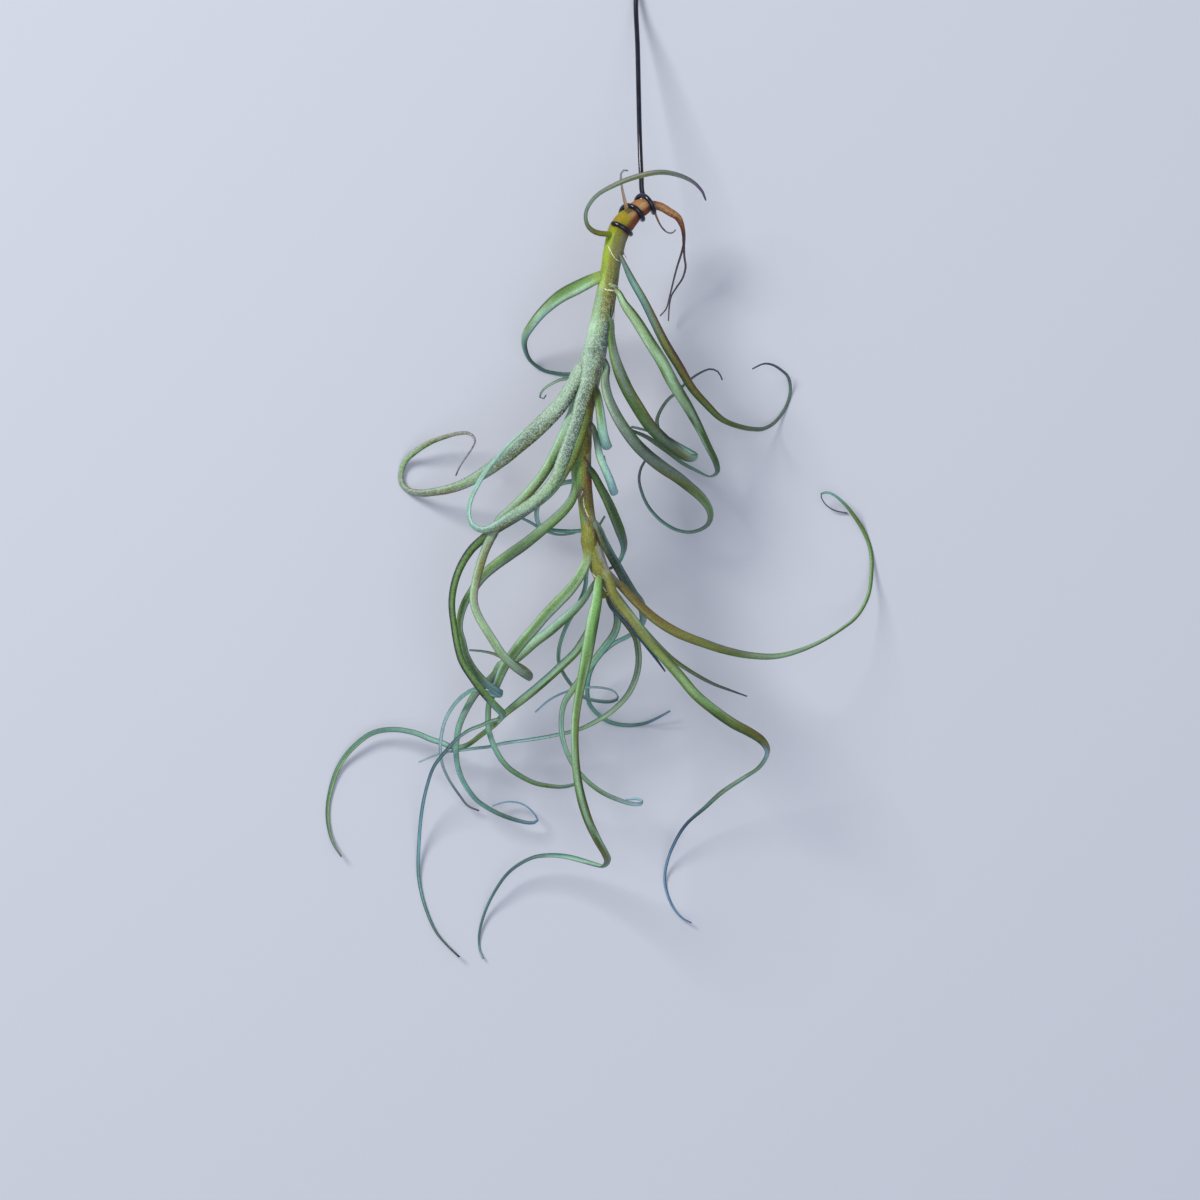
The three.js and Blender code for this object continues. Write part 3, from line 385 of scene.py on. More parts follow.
def plant_skin(name, roughness, speck_share):
    """Scurfy leaf skin: colour from tone, silver specks by scales, streaks, and papery rims."""
    material, add = new_material(name)
    kinds = {"tone": "Color", "scales": "Fac", "paper": "Fac", "skin": "Vector"}
    tone, scales, rim, skin = (
        add("Attribute", {"attribute_name": layer}).outputs[kind] for layer, kind in kinds.items()
    )
    place = add("TexCoord").outputs["Object"]
    # Specks: each cell has its chance, raised or lowered by its tuft, and shows where it is high
    cells = add("TexVoronoi", Vector=place, Scale=1 / (SCALE_SIZE * MM))
    chance = add("SeparateColor", Color=cells.outputs["Color"])
    tufts = add("TexNoise", Vector=place, Scale=1 / (TUFT_SIZE * MM), Detail=1.0)
    clumped = add("MapRange", Value=tufts, From_Min=0.3, From_Max=0.7, To_Min=-0.08, To_Max=0.1)
    likely = add("Math", {"operation": "ADD"}, _0=chance, _1=clumped)
    soft = {"interpolation_type": "SMOOTHSTEP"}
    raised = add("MapRange", soft, Value=likely, From_Min=0.5, From_Max=0.75)
    spread = add("Math", {"operation": "MULTIPLY"}, _0=raised, _1=scales)
    amount = add("Math", {"operation": "MULTIPLY"}, _0=spread, _1=speck_share)
    # Tissue: the tone, darker between scales, in patches and in streaks
    gaps = add("MapRange", Value=chance.outputs[1], To_Min=0.8, To_Max=1.1)
    patches = add("TexNoise", Vector=place, Scale=1 / (PATCH_SIZE * MM), Detail=2.0)
    shade = add("MapRange", Value=patches, From_Min=0.3, From_Max=0.7, To_Min=0.86, To_Max=1.1)
    stretch = (1 / STREAK_WIDTH, 1 / STREAK_LENGTH, 1)
    drawn = add("VectorMath", {"operation": "MULTIPLY"}, _0=skin, _1=stretch)
    streaks = add("TexNoise", Vector=drawn, Scale=1.0, Detail=2.0, Roughness=0.6)
    groove = add("MapRange", Value=streaks, From_Min=0.3, From_Max=0.7, To_Min=0.78, To_Max=1.16)
    dark = add("Math", {"operation": "MULTIPLY"}, _0=gaps, _1=shade)
    dark = add("Math", {"operation": "MULTIPLY"}, _0=dark, _1=groove)
    tissue = add("VectorMath", {"operation": "SCALE"}, _0=tone, Scale=dark)
    # Paper: pale, with brown dots
    dots = add("TexNoise", Vector=place, Scale=1 / (DOT_SIZE * MM), Detail=1.0)
    dotted = add("MapRange", soft, Value=dots, From_Min=0.56, From_Max=0.64)
    colors = {"data_type": "RGBA"}
    brown = linear(PALETTE["brown"])
    paper = add("Mix", colors, Factor=dotted, _6=linear(PAPER_COLOR), _7=brown)
    scurfy = add("Mix", colors, Factor=amount, _6=tissue, _7=linear(SPECK_COLOR))
    whole = add("Mix", colors, Factor=rim, _6=scurfy.outputs[2], _7=paper.outputs[2])
    height = add("Math", {"operation": "ADD"}, _0=amount, _1=groove)
    bump = add("Bump", Height=height, Strength=0.35, Distance=SCALE_HEIGHT * MM)
    shader = add(
        "BsdfPrincipled", Base_Color=whole.outputs[2], Roughness=roughness, IOR=1.42,
        Specular_IOR_Level=0.3, Normal=bump, Sheen_Weight=0.05, Sheen_Roughness=0.4,
    )
    add("OutputMaterial", _0=shader)
    return material


leaf_skin = plant_skin("scurfy_leaf_blade", roughness=0.55, speck_share=0.58)
sheath_skin = plant_skin("scurfy_leaf_sheath", roughness=0.6, speck_share=0.65)
print("skins:", leaf_skin.name, sheath_skin.name)

# %% [markdown]
# The stem's line is the spine of everything: leaves leave it and the wire winds it. What shows is
# the column of old sheaths, each wrapped so closely round the next that they read as one tube. Its
# colours go from woody foot to silver middle to the olive and brown of the growing end. From above,
# its left side, towards the lamp, is painted lighter and its right painted darker: painted light
# and shade laid over its own colours.
# At the foot the soft tissue has swollen round the wire, which grips it in a winding groove.

# %% Stem line and column
STEM_LINE = [
    (20.6, 159.8, 39.6), (17.2, 158.2, 40), (12, 154, 41), (7.6, 148, 42.4), (5.4, 140, 43.8),
    (2.8, 124, 46), (-0.4, 108, 48.6), (-3.2, 94, 51), (-5.6, 80, 53), (-6.6, 64, 55),
    (-6.4, 48, 56.6), (-4.8, 32, 58.2), (-2, 18, 59.4), (1.2, 8, 60), (3, 1, 60),
]
# Share of the stem's length, and mm
STEM_RADIUS = [
    (0, 2.8), (0.012, 3.5), (0.03, 3.8), (0.055, 4.0), (0.08, 4.4), (0.1, 4.6), (0.13, 4.2),
    (0.2, 3.8), (0.28, 4.2), (0.4, 4.5), (0.48, 4.2), (0.55, 3.4), (0.62, 3.3), (0.7, 3.1),
    (0.8, 3.1), (0.86, 3.5), (0.93, 3.5), (0.97, 3.0), (1, 2.2),
]
STEM_STEP = 1.0
STEM_SIDES = 40
STEM_LEVELLING = 0.3
COIL_ANGLES = (-math.pi / 3, 29 / 6 * math.pi)
# How far along the stem the wire is, in mm, by the angle that it has wound, in half turns
COIL_WAY = [(-1 / 3, -0.6), (0.5, 1.8), (2.5, 8.2), (4.5, 18.0), (29 / 6, 19.2)]
COIL_TILT = [(0.5, 0.3), (2.5, 0.6), (4.5, 1.4)]
COIL_SWING = 1.0
COIL_TURNS = 3
GRIP_DEPTH = 0.9
GRIP_WIDTH = 1.3
# Colours at the left, in the middle and at the right from above, from the foot to the tip. The
# lighter left and the straw middle at the foot are partly painted highlight, the darker right
# partly painted shade
STEM_TONES = """
    0 bark straw rust, 0.045 bark straw rust, 0.06 khaki straw rust, 0.075 yellow yellow rust,
    0.1 yellow khaki rust, 0.12 lime khaki taupe, 0.15 lime olive taupe, 0.18 lime khaki taupe,
    0.21 lime khaki olive, 0.245 pear khaki brown, 0.27 sage khaki brown, 0.31 sage olive olive,
    0.35 mint sage slate, 0.4 silver slate slate, 0.46 silver slate taupe, 0.5 silver slate taupe,
    0.54 leaf olive taupe, 0.57 moss khaki taupe, 0.63 khaki khaki taupe, 0.66 moss brown taupe,
    0.69 leaf khaki umber, 0.72 leaf khaki rust, 0.75 umber brown brown, 0.78 lime khaki brown,
    0.81 leaf khaki taupe, 0.84 khaki khaki umber, 0.88 olive khaki brown, 0.91 taupe khaki olive,
    0.94 olive, 1 khaki olive taupe
"""
# Share of the stem's length, and how thick the scales lie, from 0 to 1
STEM_SCALES = [
    (0, 0), (0.12, 0.05), (0.18, 0.15), (0.28, 0.4), (0.36, 0.85), (0.48, 0.9), (0.53, 0.2),
    (1, 0.12),
]

stem_places = line_through(STEM_LINE, STEM_STEP)
stem_tangents, stem_across, stem_out = directions_along(stem_places, UP, STEM_LEVELLING)
stem_shares = np.linspace(0, 1, len(stem_places))


def graph(pairs, share):
    """The value at each share, on straight lines between pairs of a share and a value."""
    return np.interp(share, [p[0] for p in pairs], [p[1] for p in pairs])


def stem_share(places):
    """The share of the stem's length that each place lies beside."""
    apart = np.linalg.norm(stem_places[None, :, :] - places[:, None, :], axis=2)
    return apart.argmin(axis=1) / (len(stem_places) - 1)


def coil_way(angle):
    """How far along the stem the wire is at each angle it has wound, in mm. It lies askew: lower
    on the right, and swung towards the root end in front."""
    half_turns = angle / math.pi
    tilt = graph(COIL_TILT, half_turns) * np.cos(angle)
    return graph(COIL_WAY, half_turns) + tilt - COIL_SWING * np.sin(angle)


def column_section(k, x, z):
    """A round section, pinched where a turn of the wire crosses it."""
    turned = np.arctan2(z, x * np.sign(stem_across[k][:, 0]))
    grip = np.zeros(len(k))
    for turn in range(COIL_TURNS):
        angle = np.clip(turned + 2 * math.pi * turn, *COIL_ANGLES)
        away = k * STEM_STEP - coil_way(angle)
        grip = np.maximum(grip, GRIP_DEPTH * np.exp(-((away / GRIP_WIDTH) ** 2)))
    radius = graph(STEM_RADIUS, stem_shares[k]) - grip
    return x * radius, z * radius


stem_shape, k, x, z = bent_cylinder(
    stem_places, stem_across, stem_out, column_section, STEM_SIDES
)
paint(
    stem_shape,
    tone=tone_at(STEM_TONES, stem_shares[k], x * np.sign(stem_across[k][:, 0])),
    scales=graph(STEM_SCALES, stem_shares[k]),
    paper=np.zeros(len(k)),
    skin=skin_places(np.arctan2(z, x) * graph(STEM_RADIUS, stem_shares[k]), k * STEM_STEP),
)
print("stem", round(STEM_STEP * (len(stem_places) - 1)), "mm long")

# %% [markdown]
# Where one old sheath ends and the next shows, there is an edge: a dry whitish rim, a torn brown
# one, or a dark crease, whose near-black ink strip is painted shadow in the gap between a sheath
# and the column. Each is a thin strip laid on the column, through points seen from above.
# The column's own roundness gives their height.

# %% Rims and creases
EDGE_STEP = 0.4
EDGE_SIDES = 10
EDGE_THICKNESS = 0.24
EDGE_LIFT = 0.05
EDGE_TAPER_STEPS = 3
EDGE_END = 0.1
EDGE_REACH = 0.99
EDGES = [
    # width, tone, how papery, x and y of its points
    (0.4, "mint", 0.8, [(3, 142.4), (4.2, 140), (5.4, 137.8), (7, 136.2), (8.6, 135.8)]),
    (1.6, "taupe", 0, [(8.4, 140.6), (9.6, 138.8), (11, 136.8)]),
    (1.5, "sage", 0.25, [(3, 126.6), (5, 126), (7.4, 125.2)]),
    (0.55, "mint", 0.9, [(1.4, 124.8), (3, 124.2), (5, 124), (6.8, 123.4)]),
    # Painted shadow: a near-black strip in the crevice between a sheath and the column
    (0.8, "ink", 0, [(4.4, 118), (4.2, 114), (3.9, 110), (3.5, 105), (3.1, 101)]),
    (1.5, "taupe", 0, [(6, 123), (5.8, 118), (5.5, 112), (5.1, 107)]),
    (0.5, "dust", 0.3, [(2.4, 99), (1, 95), (-0.2, 91), (-1, 87.4)]),
    (0.7, "umber", 0, [(-8.2, 59), (-6.4, 57), (-4.6, 54.4), (-3.8, 51), (-3.4, 46)]),
    (0.5, "pear", 0.3, [(-4.2, 61), (-6, 59.4), (-8.4, 57.4)]),
    (1.3, "umber", 0.12, [
        (-6.2, 45), (-7.6, 42), (-7.6, 38.6), (-6.6, 35), (-5, 31.6), (-4.2, 29.6),
    ]),
    (0.45, "pear", 0.5, [(-6.6, 41), (-6.4, 38), (-5.4, 35), (-4.2, 32.6)]),
    (0.4, "mint", 0.9, [(-6.4, 44.4), (-7.2, 42.6), (-7.8, 41.2)]),
    (0.9, "umber", 0.12, [(-3.6, 29), (-3.2, 25), (-3.4, 20), (-4.2, 16.6), (-4.4, 13.4)]),
    (0.45, "mint", 0.9, [(-4, 12.4), (-2.4, 9.8), (-0.8, 8), (0.6, 6), (2.4, 3.4), (3.6, 1.4)]),
    (0.45, "mint", 0.9, [(4.4, 12), (5.6, 9), (6.8, 6), (8, 3.4)]),
    (0.3, "pear", 0.2, [(-2.4, 14), (-0.6, 13.4), (1.2, 13.8)]),
    (0.3, "pear", 0.2, [(-2, 12.6), (-0.2, 12), (1.4, 12.4)]),
]


def edge_places(points):
    """Places on the column's skin under the points, and the directions out of the skin there."""
    flat = line_through([(x, y, 0) for x, y in points], EDGE_STEP)
    apart = np.linalg.norm(stem_places[None, :, :2] - flat[:, None, :2], axis=2)
    nearest = apart.argmin(axis=1)
    radius = graph(STEM_RADIUS, nearest / (len(stem_places) - 1)) + EDGE_LIFT
    beside = np.minimum(apart.min(axis=1), radius * EDGE_REACH)
    places = flat.copy()
    places[:, 2] = stem_places[nearest, 2] + np.sqrt(radius**2 - beside**2)
    return places, unit(places - stem_places[nearest])


for width, tone, papery, points in EDGES:
    places, outs = edge_places(points)
    acrosses = unit(np.cross(outs, unit(np.gradient(places, axis=0))))
    ends = np.sqrt(np.clip(steps_to_end(places) / EDGE_TAPER_STEPS, EDGE_END, 1))

    def strip_section(k, x, z):
        return x * width / 2 * ends[k], z * EDGE_THICKNESS / 2 * ends[k]

    strip, k, x, z = bent_cylinder(places, acrosses, outs, strip_section, EDGE_SIDES)
    paint(
        strip,
        tone=tone_at("0 " + tone, np.zeros(len(k)), x),
        scales=np.zeros(len(k)),
        paper=np.full(len(k), float(papery)),
        skin=skin_places(x * width / 2, k * EDGE_STEP),
    )
    add_shape(stem_shape, strip)
print(len(EDGES), "rims and creases")

# %% [markdown]
# Now the leaves. Each is written as its widths in mm by share of its length, its tones, and its
# line from the stem's core to the tip. Lines and widths keep close to the frame's own, so every
# blade stays where its solid is. The first of three colours is that of the left edge
# of the blade's back, seen with its tip down. A leaf also says what it doesn't share with USUAL:
# side is -1 for one on the far side, scurf is how thick its scales lie, and sleeve names the
# colours of its start, where they aren't the stem's. A broad leaf has a sheath of its own, which
# reaches back along the stem, opens over the run mouth and has a papery rim, all in mm.
# Across a blade, the three colours are also painted light and shade: the edge towards the lamp
# carries pale mint or silver as painted highlight, and the edge away from it olive, brown or ink as
# painted shade.

# %% Leaf table
USUAL = dict(side=1, scurf=0.1, sleeve=None, mouth=(-2, -1), reach=0, rim=0)
LEAVES = {
    # Lowest leaf: rises beside the wire, arches over it and hangs down on the far side
    "leaf_01": dict(
        widths=[(0, 2.6), (0.1, 2.7), (0.3, 2.6), (0.6, 2.4), (0.8, 1.8), (0.95, 1.1), (1, 0.6)],
        tones="""0 olive khaki khaki, 0.15 olive khaki khaki, 0.28 silver, 0.42 sage sage dust,
            0.6 sage olive dust, 0.8 dust slate slate, 0.95 plum""",
        line=[(7, 147, 43), (2.4, 146.7, 47.5), (-2.1, 147.4, 50.5), (-5.1, 149.9, 53),
            (-5.8, 155, 55.5), (-2.1, 161.1, 58), (5.8, 165.8, 60), (16, 169.5, 60),
            (25.7, 171, 57), (36, 168.2, 52), (40.7, 164.1, 49), (42.4, 160.4, 46)],
    ),
    # Left loop near the foot, which rests on the surface
    "leaf_02": dict(
        widths=[(0, 5.2), (0.06, 6), (0.12, 6.2), (0.2, 5.6), (0.3, 4.4), (0.4, 3.7), (0.5, 3),
            (0.6, 2.4), (0.7, 1.9), (0.8, 1.4), (0.9, 1), (1, 0.5)],
        tones="""0 moss leaf bright, 0.1 moss leaf mint, 0.2 moss leaf mint, 0.3 moss mint foam,
            0.4 leaf sage foam, 0.5 foam teal sea, 0.6 foam sea sea, 0.75 sea, 0.9 mint, 1 navy""",
        line=[(3, 131, 44.6), (-1, 129.2, 46), (-9.4, 125.2, 44), (-15.3, 122.3, 40),
            (-21.3, 117.8, 33), (-26.6, 112.2, 25), (-30.4, 106.2, 16), (-30.2, 101.4, 9),
            (-27.8, 96.9, 3.2), (-22.4, 93.3, 0.5), (-15, 91.9, 1.4), (-10.4, 91.6, 6),
            (-12.2, 90, 10.4), (-16.2, 89.2, 12.5), (-20.2, 87.2, 13), (-23.4, 84.8, 12),
            (-24.4, 82, 10.6), (-22.6, 81.6, 9.6), (-21.8, 83, 9)],
    ),
    # Outer leaf on the right, whose hook rests on the surface
    "leaf_03": dict(
        sleeve="taupe taupe umber",
        widths=[(0, 1.2), (0.05, 1.8), (0.1, 3), (0.3, 3.8), (0.42, 3.2), (0.5, 2.8), (0.56, 2.3),
            (0.65, 2.1), (0.77, 1.6), (0.85, 1.3), (0.93, 1), (1, 0.5)],
        tones="""0 taupe taupe umber, 0.06 sea slate umber, 0.12 sea teal olive,
            0.2 sea slate brown, 0.27 moss olive umber, 0.34 moss brown umber,
            0.42 moss olive brown, 0.5 moss leaf brown, 0.6 olive moss olive, 0.72 slate,
            0.85 sea slate sea, 1 navy""",
        line=[(6.4, 142, 43.4), (9, 136.4, 48.4), (12.6, 128.5, 51.4), (17.6, 119.6, 54),
            (26, 102.8, 54), (31.6, 93.7, 51), (36.9, 85, 46), (42.6, 78.8, 39), (48.8, 73.1, 30),
            (55, 70.5, 21), (61.6, 69.3, 12.5), (66.6, 69.6, 6.4), (71.3, 72.5, 2.2),
            (75.6, 78.5, 0.2), (77.4, 85, 0.8), (76.4, 90.6, 4), (73.8, 93.1, 7), (70.1, 95.3, 10),
            (66.4, 95.8, 12), (61.6, 93.6, 13)],
    ),
    # Right leaf with a narrow fold that turns back under the plant
    "leaf_04": dict(
        scurf=0.15,
        widths=[(0, 2), (0.06, 2.8), (0.1, 4), (0.15, 4.4), (0.3, 4.8), (0.4, 4.2), (0.5, 3.2),
            (0.6, 2.6), (0.68, 2), (0.75, 2.2), (0.85, 2.2), (0.92, 1.2), (1, 0.8)],
        tones="""0 sage sage olive, 0.06 sage mint moss, 0.1 sage sage moss, 0.2 mint sage moss,
            0.28 leaf mint sage, 0.36 mint sage moss, 0.44 moss silver moss, 0.5 mint moss moss,
            0.6 slate moss moss, 0.7 silver teal teal, 0.8 slate moss slate, 1 sea sea navy""",
        line=[(3.4, 126, 45.8), (7.2, 123.4, 49.6), (9.6, 118.7, 52.6), (14.6, 111.6, 56),
            (19.6, 103.5, 57), (24.6, 95.6, 56), (29, 87.3, 53), (34.3, 79, 47), (39.2, 70.5, 39),
            (43.5, 62.1, 30), (46.9, 55.3, 22), (47.3, 51.6, 17), (44.5, 50.2, 14),
            (38.9, 52.7, 12), (33.6, 55.5, 11), (27.2, 60.4, 10), (18.4, 66.4, 10), (12.4, 69, 11),
            (12.6, 70, 13), (16, 69.4, 14.4), (22.4, 67.4, 15.4)],
    ),
    # Right leaf that folds at its far point and runs back up behind itself
    "leaf_05": dict(
        # Its near-black start is painted shade where it presses against the column
        sleeve="ink ink slate",
        widths=[(0, 1.2), (0.05, 2), (0.12, 3.4), (0.2, 4.8), (0.3, 5), (0.4, 4.8), (0.5, 4.2),
            (0.56, 3.4), (0.62, 2.4), (0.7, 1.7), (0.78, 1.3), (0.88, 1), (1, 0.5)],
        tones="""0 ink ink slate, 0.06 moss moss slate, 0.1 leaf moss slate, 0.16 leaf slate slate,
            0.22 moss slate moss, 0.3 moss moss olive, 0.42 moss slate ink, 0.5 moss olive silver,
            0.6 teal foam teal, 0.68 silver silver slate, 0.8 slate, 1 navy""",
        line=[(0.4, 115, 47.8), (4.4, 112, 51.4), (4.6, 105.8, 54.4), (5.4, 99.1, 58),
            (7.8, 91, 61), (11, 83.8, 62), (15.2, 76.7, 61), (19.6, 70.1, 58), (25, 64.6, 54),
            (30.9, 60, 48), (35.8, 57.2, 41), (38.4, 57.6, 35), (36.4, 59.4, 30), (32.2, 62, 27.5),
            (26.4, 66, 25), (23.4, 69.4, 24), (23, 72.8, 24.5), (24.6, 76.8, 25), (27.4, 80.8, 26),
            (31.2, 84, 27), (35.2, 88, 28), (40.4, 91.6, 28), (44.6, 93.2, 27), (47.8, 92, 26),
            (49.4, 88.8, 25)],
    ),
    # Long right leaf that comes off the front and loops back under itself
    "leaf_06": dict(
        # The ink edge of its start is painted shade against the column
        scurf=0.15, sleeve="slate slate ink",
        widths=[(0, 2), (0.1, 3.4), (0.2, 4.2), (0.3, 4.8), (0.4, 5), (0.5, 4.4), (0.58, 3.8),
            (0.64, 2.8), (0.7, 2.3), (0.8, 1.8), (0.9, 1.3), (1, 0.9)],
        tones="""0 slate slate ink, 0.06 sage silver ink, 0.12 sage slate slate,
            0.18 silver slate slate, 0.26 slate slate moss, 0.34 slate slate ink,
            0.42 olive slate slate, 0.5 moss olive slate, 0.6 sage leaf sage, 0.68 slate,
            0.8 sea teal silver, 0.95 navy slate navy""",
        line=[(-2.4, 101, 50), (0.6, 97.5, 51), (2.6, 93.2, 53.2), (2, 88.7, 57), (3, 81.8, 62),
            (5.8, 75, 65), (9.8, 68.2, 65.5), (14.6, 62, 63.5), (19.8, 57.1, 59), (25.2, 53, 54),
            (30.9, 49.3, 48), (35.7, 45.6, 42), (39.8, 42.2, 37), (43.1, 38.3, 32),
            (44.6, 34.3, 28), (43.6, 30.7, 25), (40.4, 28.5, 23), (36, 27.5, 21), (30.7, 28.5, 20),
            (24.7, 32.1, 19), (19.6, 37.8, 18.5), (16.8, 43.9, 18.5), (15.8, 49.3, 19),
            (16.8, 53.8, 20), (18.8, 57, 21)],
    ),
    # Broad silvery leaf on the front, which droops to the left and hooks back
    "leaf_07": dict(
        scurf=1, mouth=(-5, 11), reach=13, rim=12,
        widths=[(0, 7), (0.05, 6.8), (0.12, 5.8), (0.2, 5.2), (0.35, 5), (0.5, 4.8), (0.58, 4.2),
            (0.64, 2.8), (0.7, 2.2), (0.8, 2.2), (0.9, 1.4), (1, 0.6)],
        tones="""0 silver silver slate, 0.12 silver slate olive, 0.3 silver slate slate,
            0.4 silver sage leaf, 0.5 sage silver slate, 0.6 foam slate olive, 0.7 foam teal foam,
            1 foam""",
        line=[(-2.2, 97, 50.6), (-4.2, 91.6, 58.2), (-5, 86, 61.4), (-7.2, 79.6, 65),
            (-9.2, 71.8, 68.5), (-12, 63.8, 71.5), (-14.8, 55.8, 73), (-18, 47.8, 73),
            (-23.9, 41, 71.5), (-29.8, 36.6, 69), (-35.8, 33, 66), (-41.9, 29.3, 62.5),
            (-46.9, 28, 59.5), (-51.2, 30.2, 57), (-52.5, 35.2, 55.5), (-51.3, 41.2, 54),
            (-49, 46, 53), (-46.7, 50, 53), (-42, 56, 55), (-36, 62.8, 58.6), (-30, 68, 62)],
    ),
    # Broad silvery leaf on the left, the largest, whose loop rests on the surface
    "leaf_08": dict(
        scurf=1, mouth=(-5, 11), reach=13, rim=12,
        widths=[(0, 5.6), (0.06, 6.2), (0.13, 7), (0.22, 6.6), (0.32, 5.2), (0.4, 4.4), (0.5, 3.6),
            (0.57, 3), (0.64, 2.5), (0.7, 2.6), (0.77, 2.2), (0.83, 1.6), (0.9, 1.3), (1, 0.6)],
        tones="""0 silver silver sage, 0.1 silver silver slate, 0.2 silver slate olive,
            0.3 silver slate olive, 0.4 silver sage silver, 0.5 silver olive brown,
            0.6 dust slate slate, 0.7 leaf sage silver, 0.8 moss olive dust, 0.9 dust dust plum,
            1 plum""",
        line=[(-3.4, 92, 51.2), (-8.2, 89.4, 54), (-11.4, 85.2, 55.4), (-15.4, 78.5, 57.2),
            (-20.2, 73.3, 57.4), (-25.4, 68.2, 55.6), (-31.8, 62.7, 51.6), (-37.7, 57.6, 46.2),
            (-44.2, 52.8, 39.5), (-51.4, 48.5, 31), (-59, 45.4, 22), (-66.4, 43.9, 14),
            (-73.2, 43.4, 7), (-78.4, 44.9, 2.6), (-80.9, 48.2, 1), (-80.7, 52.6, 1),
            (-78.8, 56.9, 2.6), (-74.3, 60.7, 6.5), (-68.5, 64.1, 10), (-62.2, 66.2, 14),
            (-56.4, 67.5, 18), (-52.4, 67.1, 21), (-50.3, 64.4, 23), (-51.6, 61.2, 24),
            (-54.4, 57.2, 23.5), (-56.8, 53.4, 22.4), (-58.2, 50.2, 21.4)],
    ),
    # Short leaf on the front that dives behind itself
    "leaf_09": dict(
        widths=[(0, 2.2), (0.18, 3.2), (0.35, 3.8), (0.53, 4), (0.6, 3.4), (0.7, 2.6), (0.88, 2.2),
            (1, 1.4)],
        # Its pale haze end is partly a painted highlight
        tones="""0 olive moss slate, 0.15 olive moss olive, 0.28 sage leaf foam,
            0.42 teal foam foam, 0.52 haze haze foam, 0.7 haze""",
        line=[(-4.6, 89, 52), (-1.8, 84.6, 56.6), (-0.4, 78.2, 61.4), (0.4, 72.2, 64.4),
            (1.2, 66.2, 65), (2.5, 62, 62.5), (3, 61.2, 57), (2.4, 61.8, 50), (1.2, 64, 44),
            (0.4, 68, 39), (0, 73, 36), (0.4, 78, 35)],
    ),
    # Left leaf between the broad ones, folded hard back on itself
    "leaf_10": dict(
        scurf=0.35, sleeve="sage olive taupe", mouth=(-5, 11), reach=13, rim=12,
        widths=[(0, 4), (0.1, 4.2), (0.3, 3.9), (0.45, 3.6), (0.6, 3.2), (0.75, 3.4), (0.82, 3.2),
            (0.86, 2.6), (0.91, 1.4), (1, 0.7)],
        tones="""0 foam mint mint, 0.1 foam mint mint, 0.2 mint leaf moss, 0.3 mint sage olive,
            0.4 silver silver slate, 0.5 silver olive olive, 0.6 mint sage dust, 0.7 sage sage mint,
            0.8 slate, 0.9 sage olive olive, 1 sea sea navy""",
        line=[(-5.4, 83, 52.6), (-9.4, 78.6, 53.8), (-11.4, 74, 55.4), (-14, 67.5, 59.6),
            (-17.2, 60.3, 63), (-20.9, 52.8, 64.8), (-25.7, 46.1, 64.5), (-31.1, 40.3, 62.6),
            (-35.5, 36.1, 60.6), (-40, 32, 58.8), (-42, 27.6, 58), (-44.2, 23.6, 57.5),
            (-46.2, 19.2, 57.5), (-48.2, 12.8, 58), (-49.9, 6, 58.5), (-50.5, 0, 59),
            (-48.9, -5.8, 59.5), (-45.5, -11.8, 60), (-42.3, -16.8, 60), (-38.9, -22, 60),
            (-34, -26.7, 59.5), (-29.6, -29.9, 58), (-27.7, -31, 55.4), (-28.8, -29.2, 53),
            (-32.2, -26.4, 51.8), (-38.1, -23.7, 51), (-42.1, -21.7, 50.8), (-47.3, -20.5, 50.6),
            (-52.4, -20.1, 50.4)],
    ),
    # Long left leaf that folds at a point and trails to the far end
    "leaf_11": dict(
        scurf=0.2, sleeve="khaki khaki brown", mouth=(-5, 11), reach=13, rim=12,
        widths=[(0, 4.6), (0.08, 5), (0.15, 4.4), (0.24, 3.6), (0.3, 3.1), (0.38, 2.6), (0.45, 2.8),
            (0.53, 3), (0.58, 2.4), (0.62, 1.7), (0.72, 1.5), (0.85, 1.4), (0.93, 1), (1, 0.6)],
        tones="""0 slate leaf khaki, 0.1 sage leaf khaki, 0.15 silver slate foam,
            0.22 slate leaf moss, 0.28 ink leaf moss, 0.42 ink leaf moss, 0.5 ink moss leaf,
            0.55 foam teal leaf, 0.66 navy sea navy, 0.8 blue teal blue, 0.92 sea teal sea,
            1 ink""",
        line=[(-5.8, 78, 53.2), (-6.4, 73, 57.4), (-7.8, 67.2, 59.4), (-11.2, 58, 60.6),
            (-16, 49.2, 60), (-20.2, 43.6, 58.6), (-26, 38.6, 56.2), (-34, 33, 52.8),
            (-40, 29.4, 50.4), (-46.1, 25.2, 48.4), (-52.1, 19.6, 46.5), (-57.2, 10.4, 46),
            (-59.4, 0, 46), (-58.6, -10, 46.5), (-55.6, -24, 48), (-51.3, -31.1, 49),
            (-46.2, -37.9, 49.5), (-41.8, -42.6, 49), (-39.1, -45.6, 46.5), (-39.6, -47.4, 42.5),
            (-44, -48.5, 39.5), (-47.8, -50.3, 38), (-52.5, -52.2, 35.5), (-57.7, -55.9, 32),
            (-62.3, -61, 28), (-66.9, -66.9, 24), (-69.8, -74.5, 17), (-72.2, -85.1, 10),
            (-73.6, -99.3, 3.6), (-73.7, -112.9, 0.8), (-71.3, -124.1, 0.6), (-66.8, -134.7, 1.4),
            (-62.2, -140.2, 2.8), (-57.1, -145, 4)],
    ),
    # Short leaf on the right that dives behind itself
    "leaf_12": dict(
        sleeve="slate sea slate",
        widths=[(0, 1.6), (0.2, 2.8), (0.35, 3.2), (0.5, 3.4), (0.6, 3.2), (0.75, 2.6), (1, 1.4)],
        # Its pale haze end is partly a painted highlight
        tones="""0 olive, 0.15 slate, 0.28 mint foam foam, 0.42 teal foam haze, 0.52 haze""",
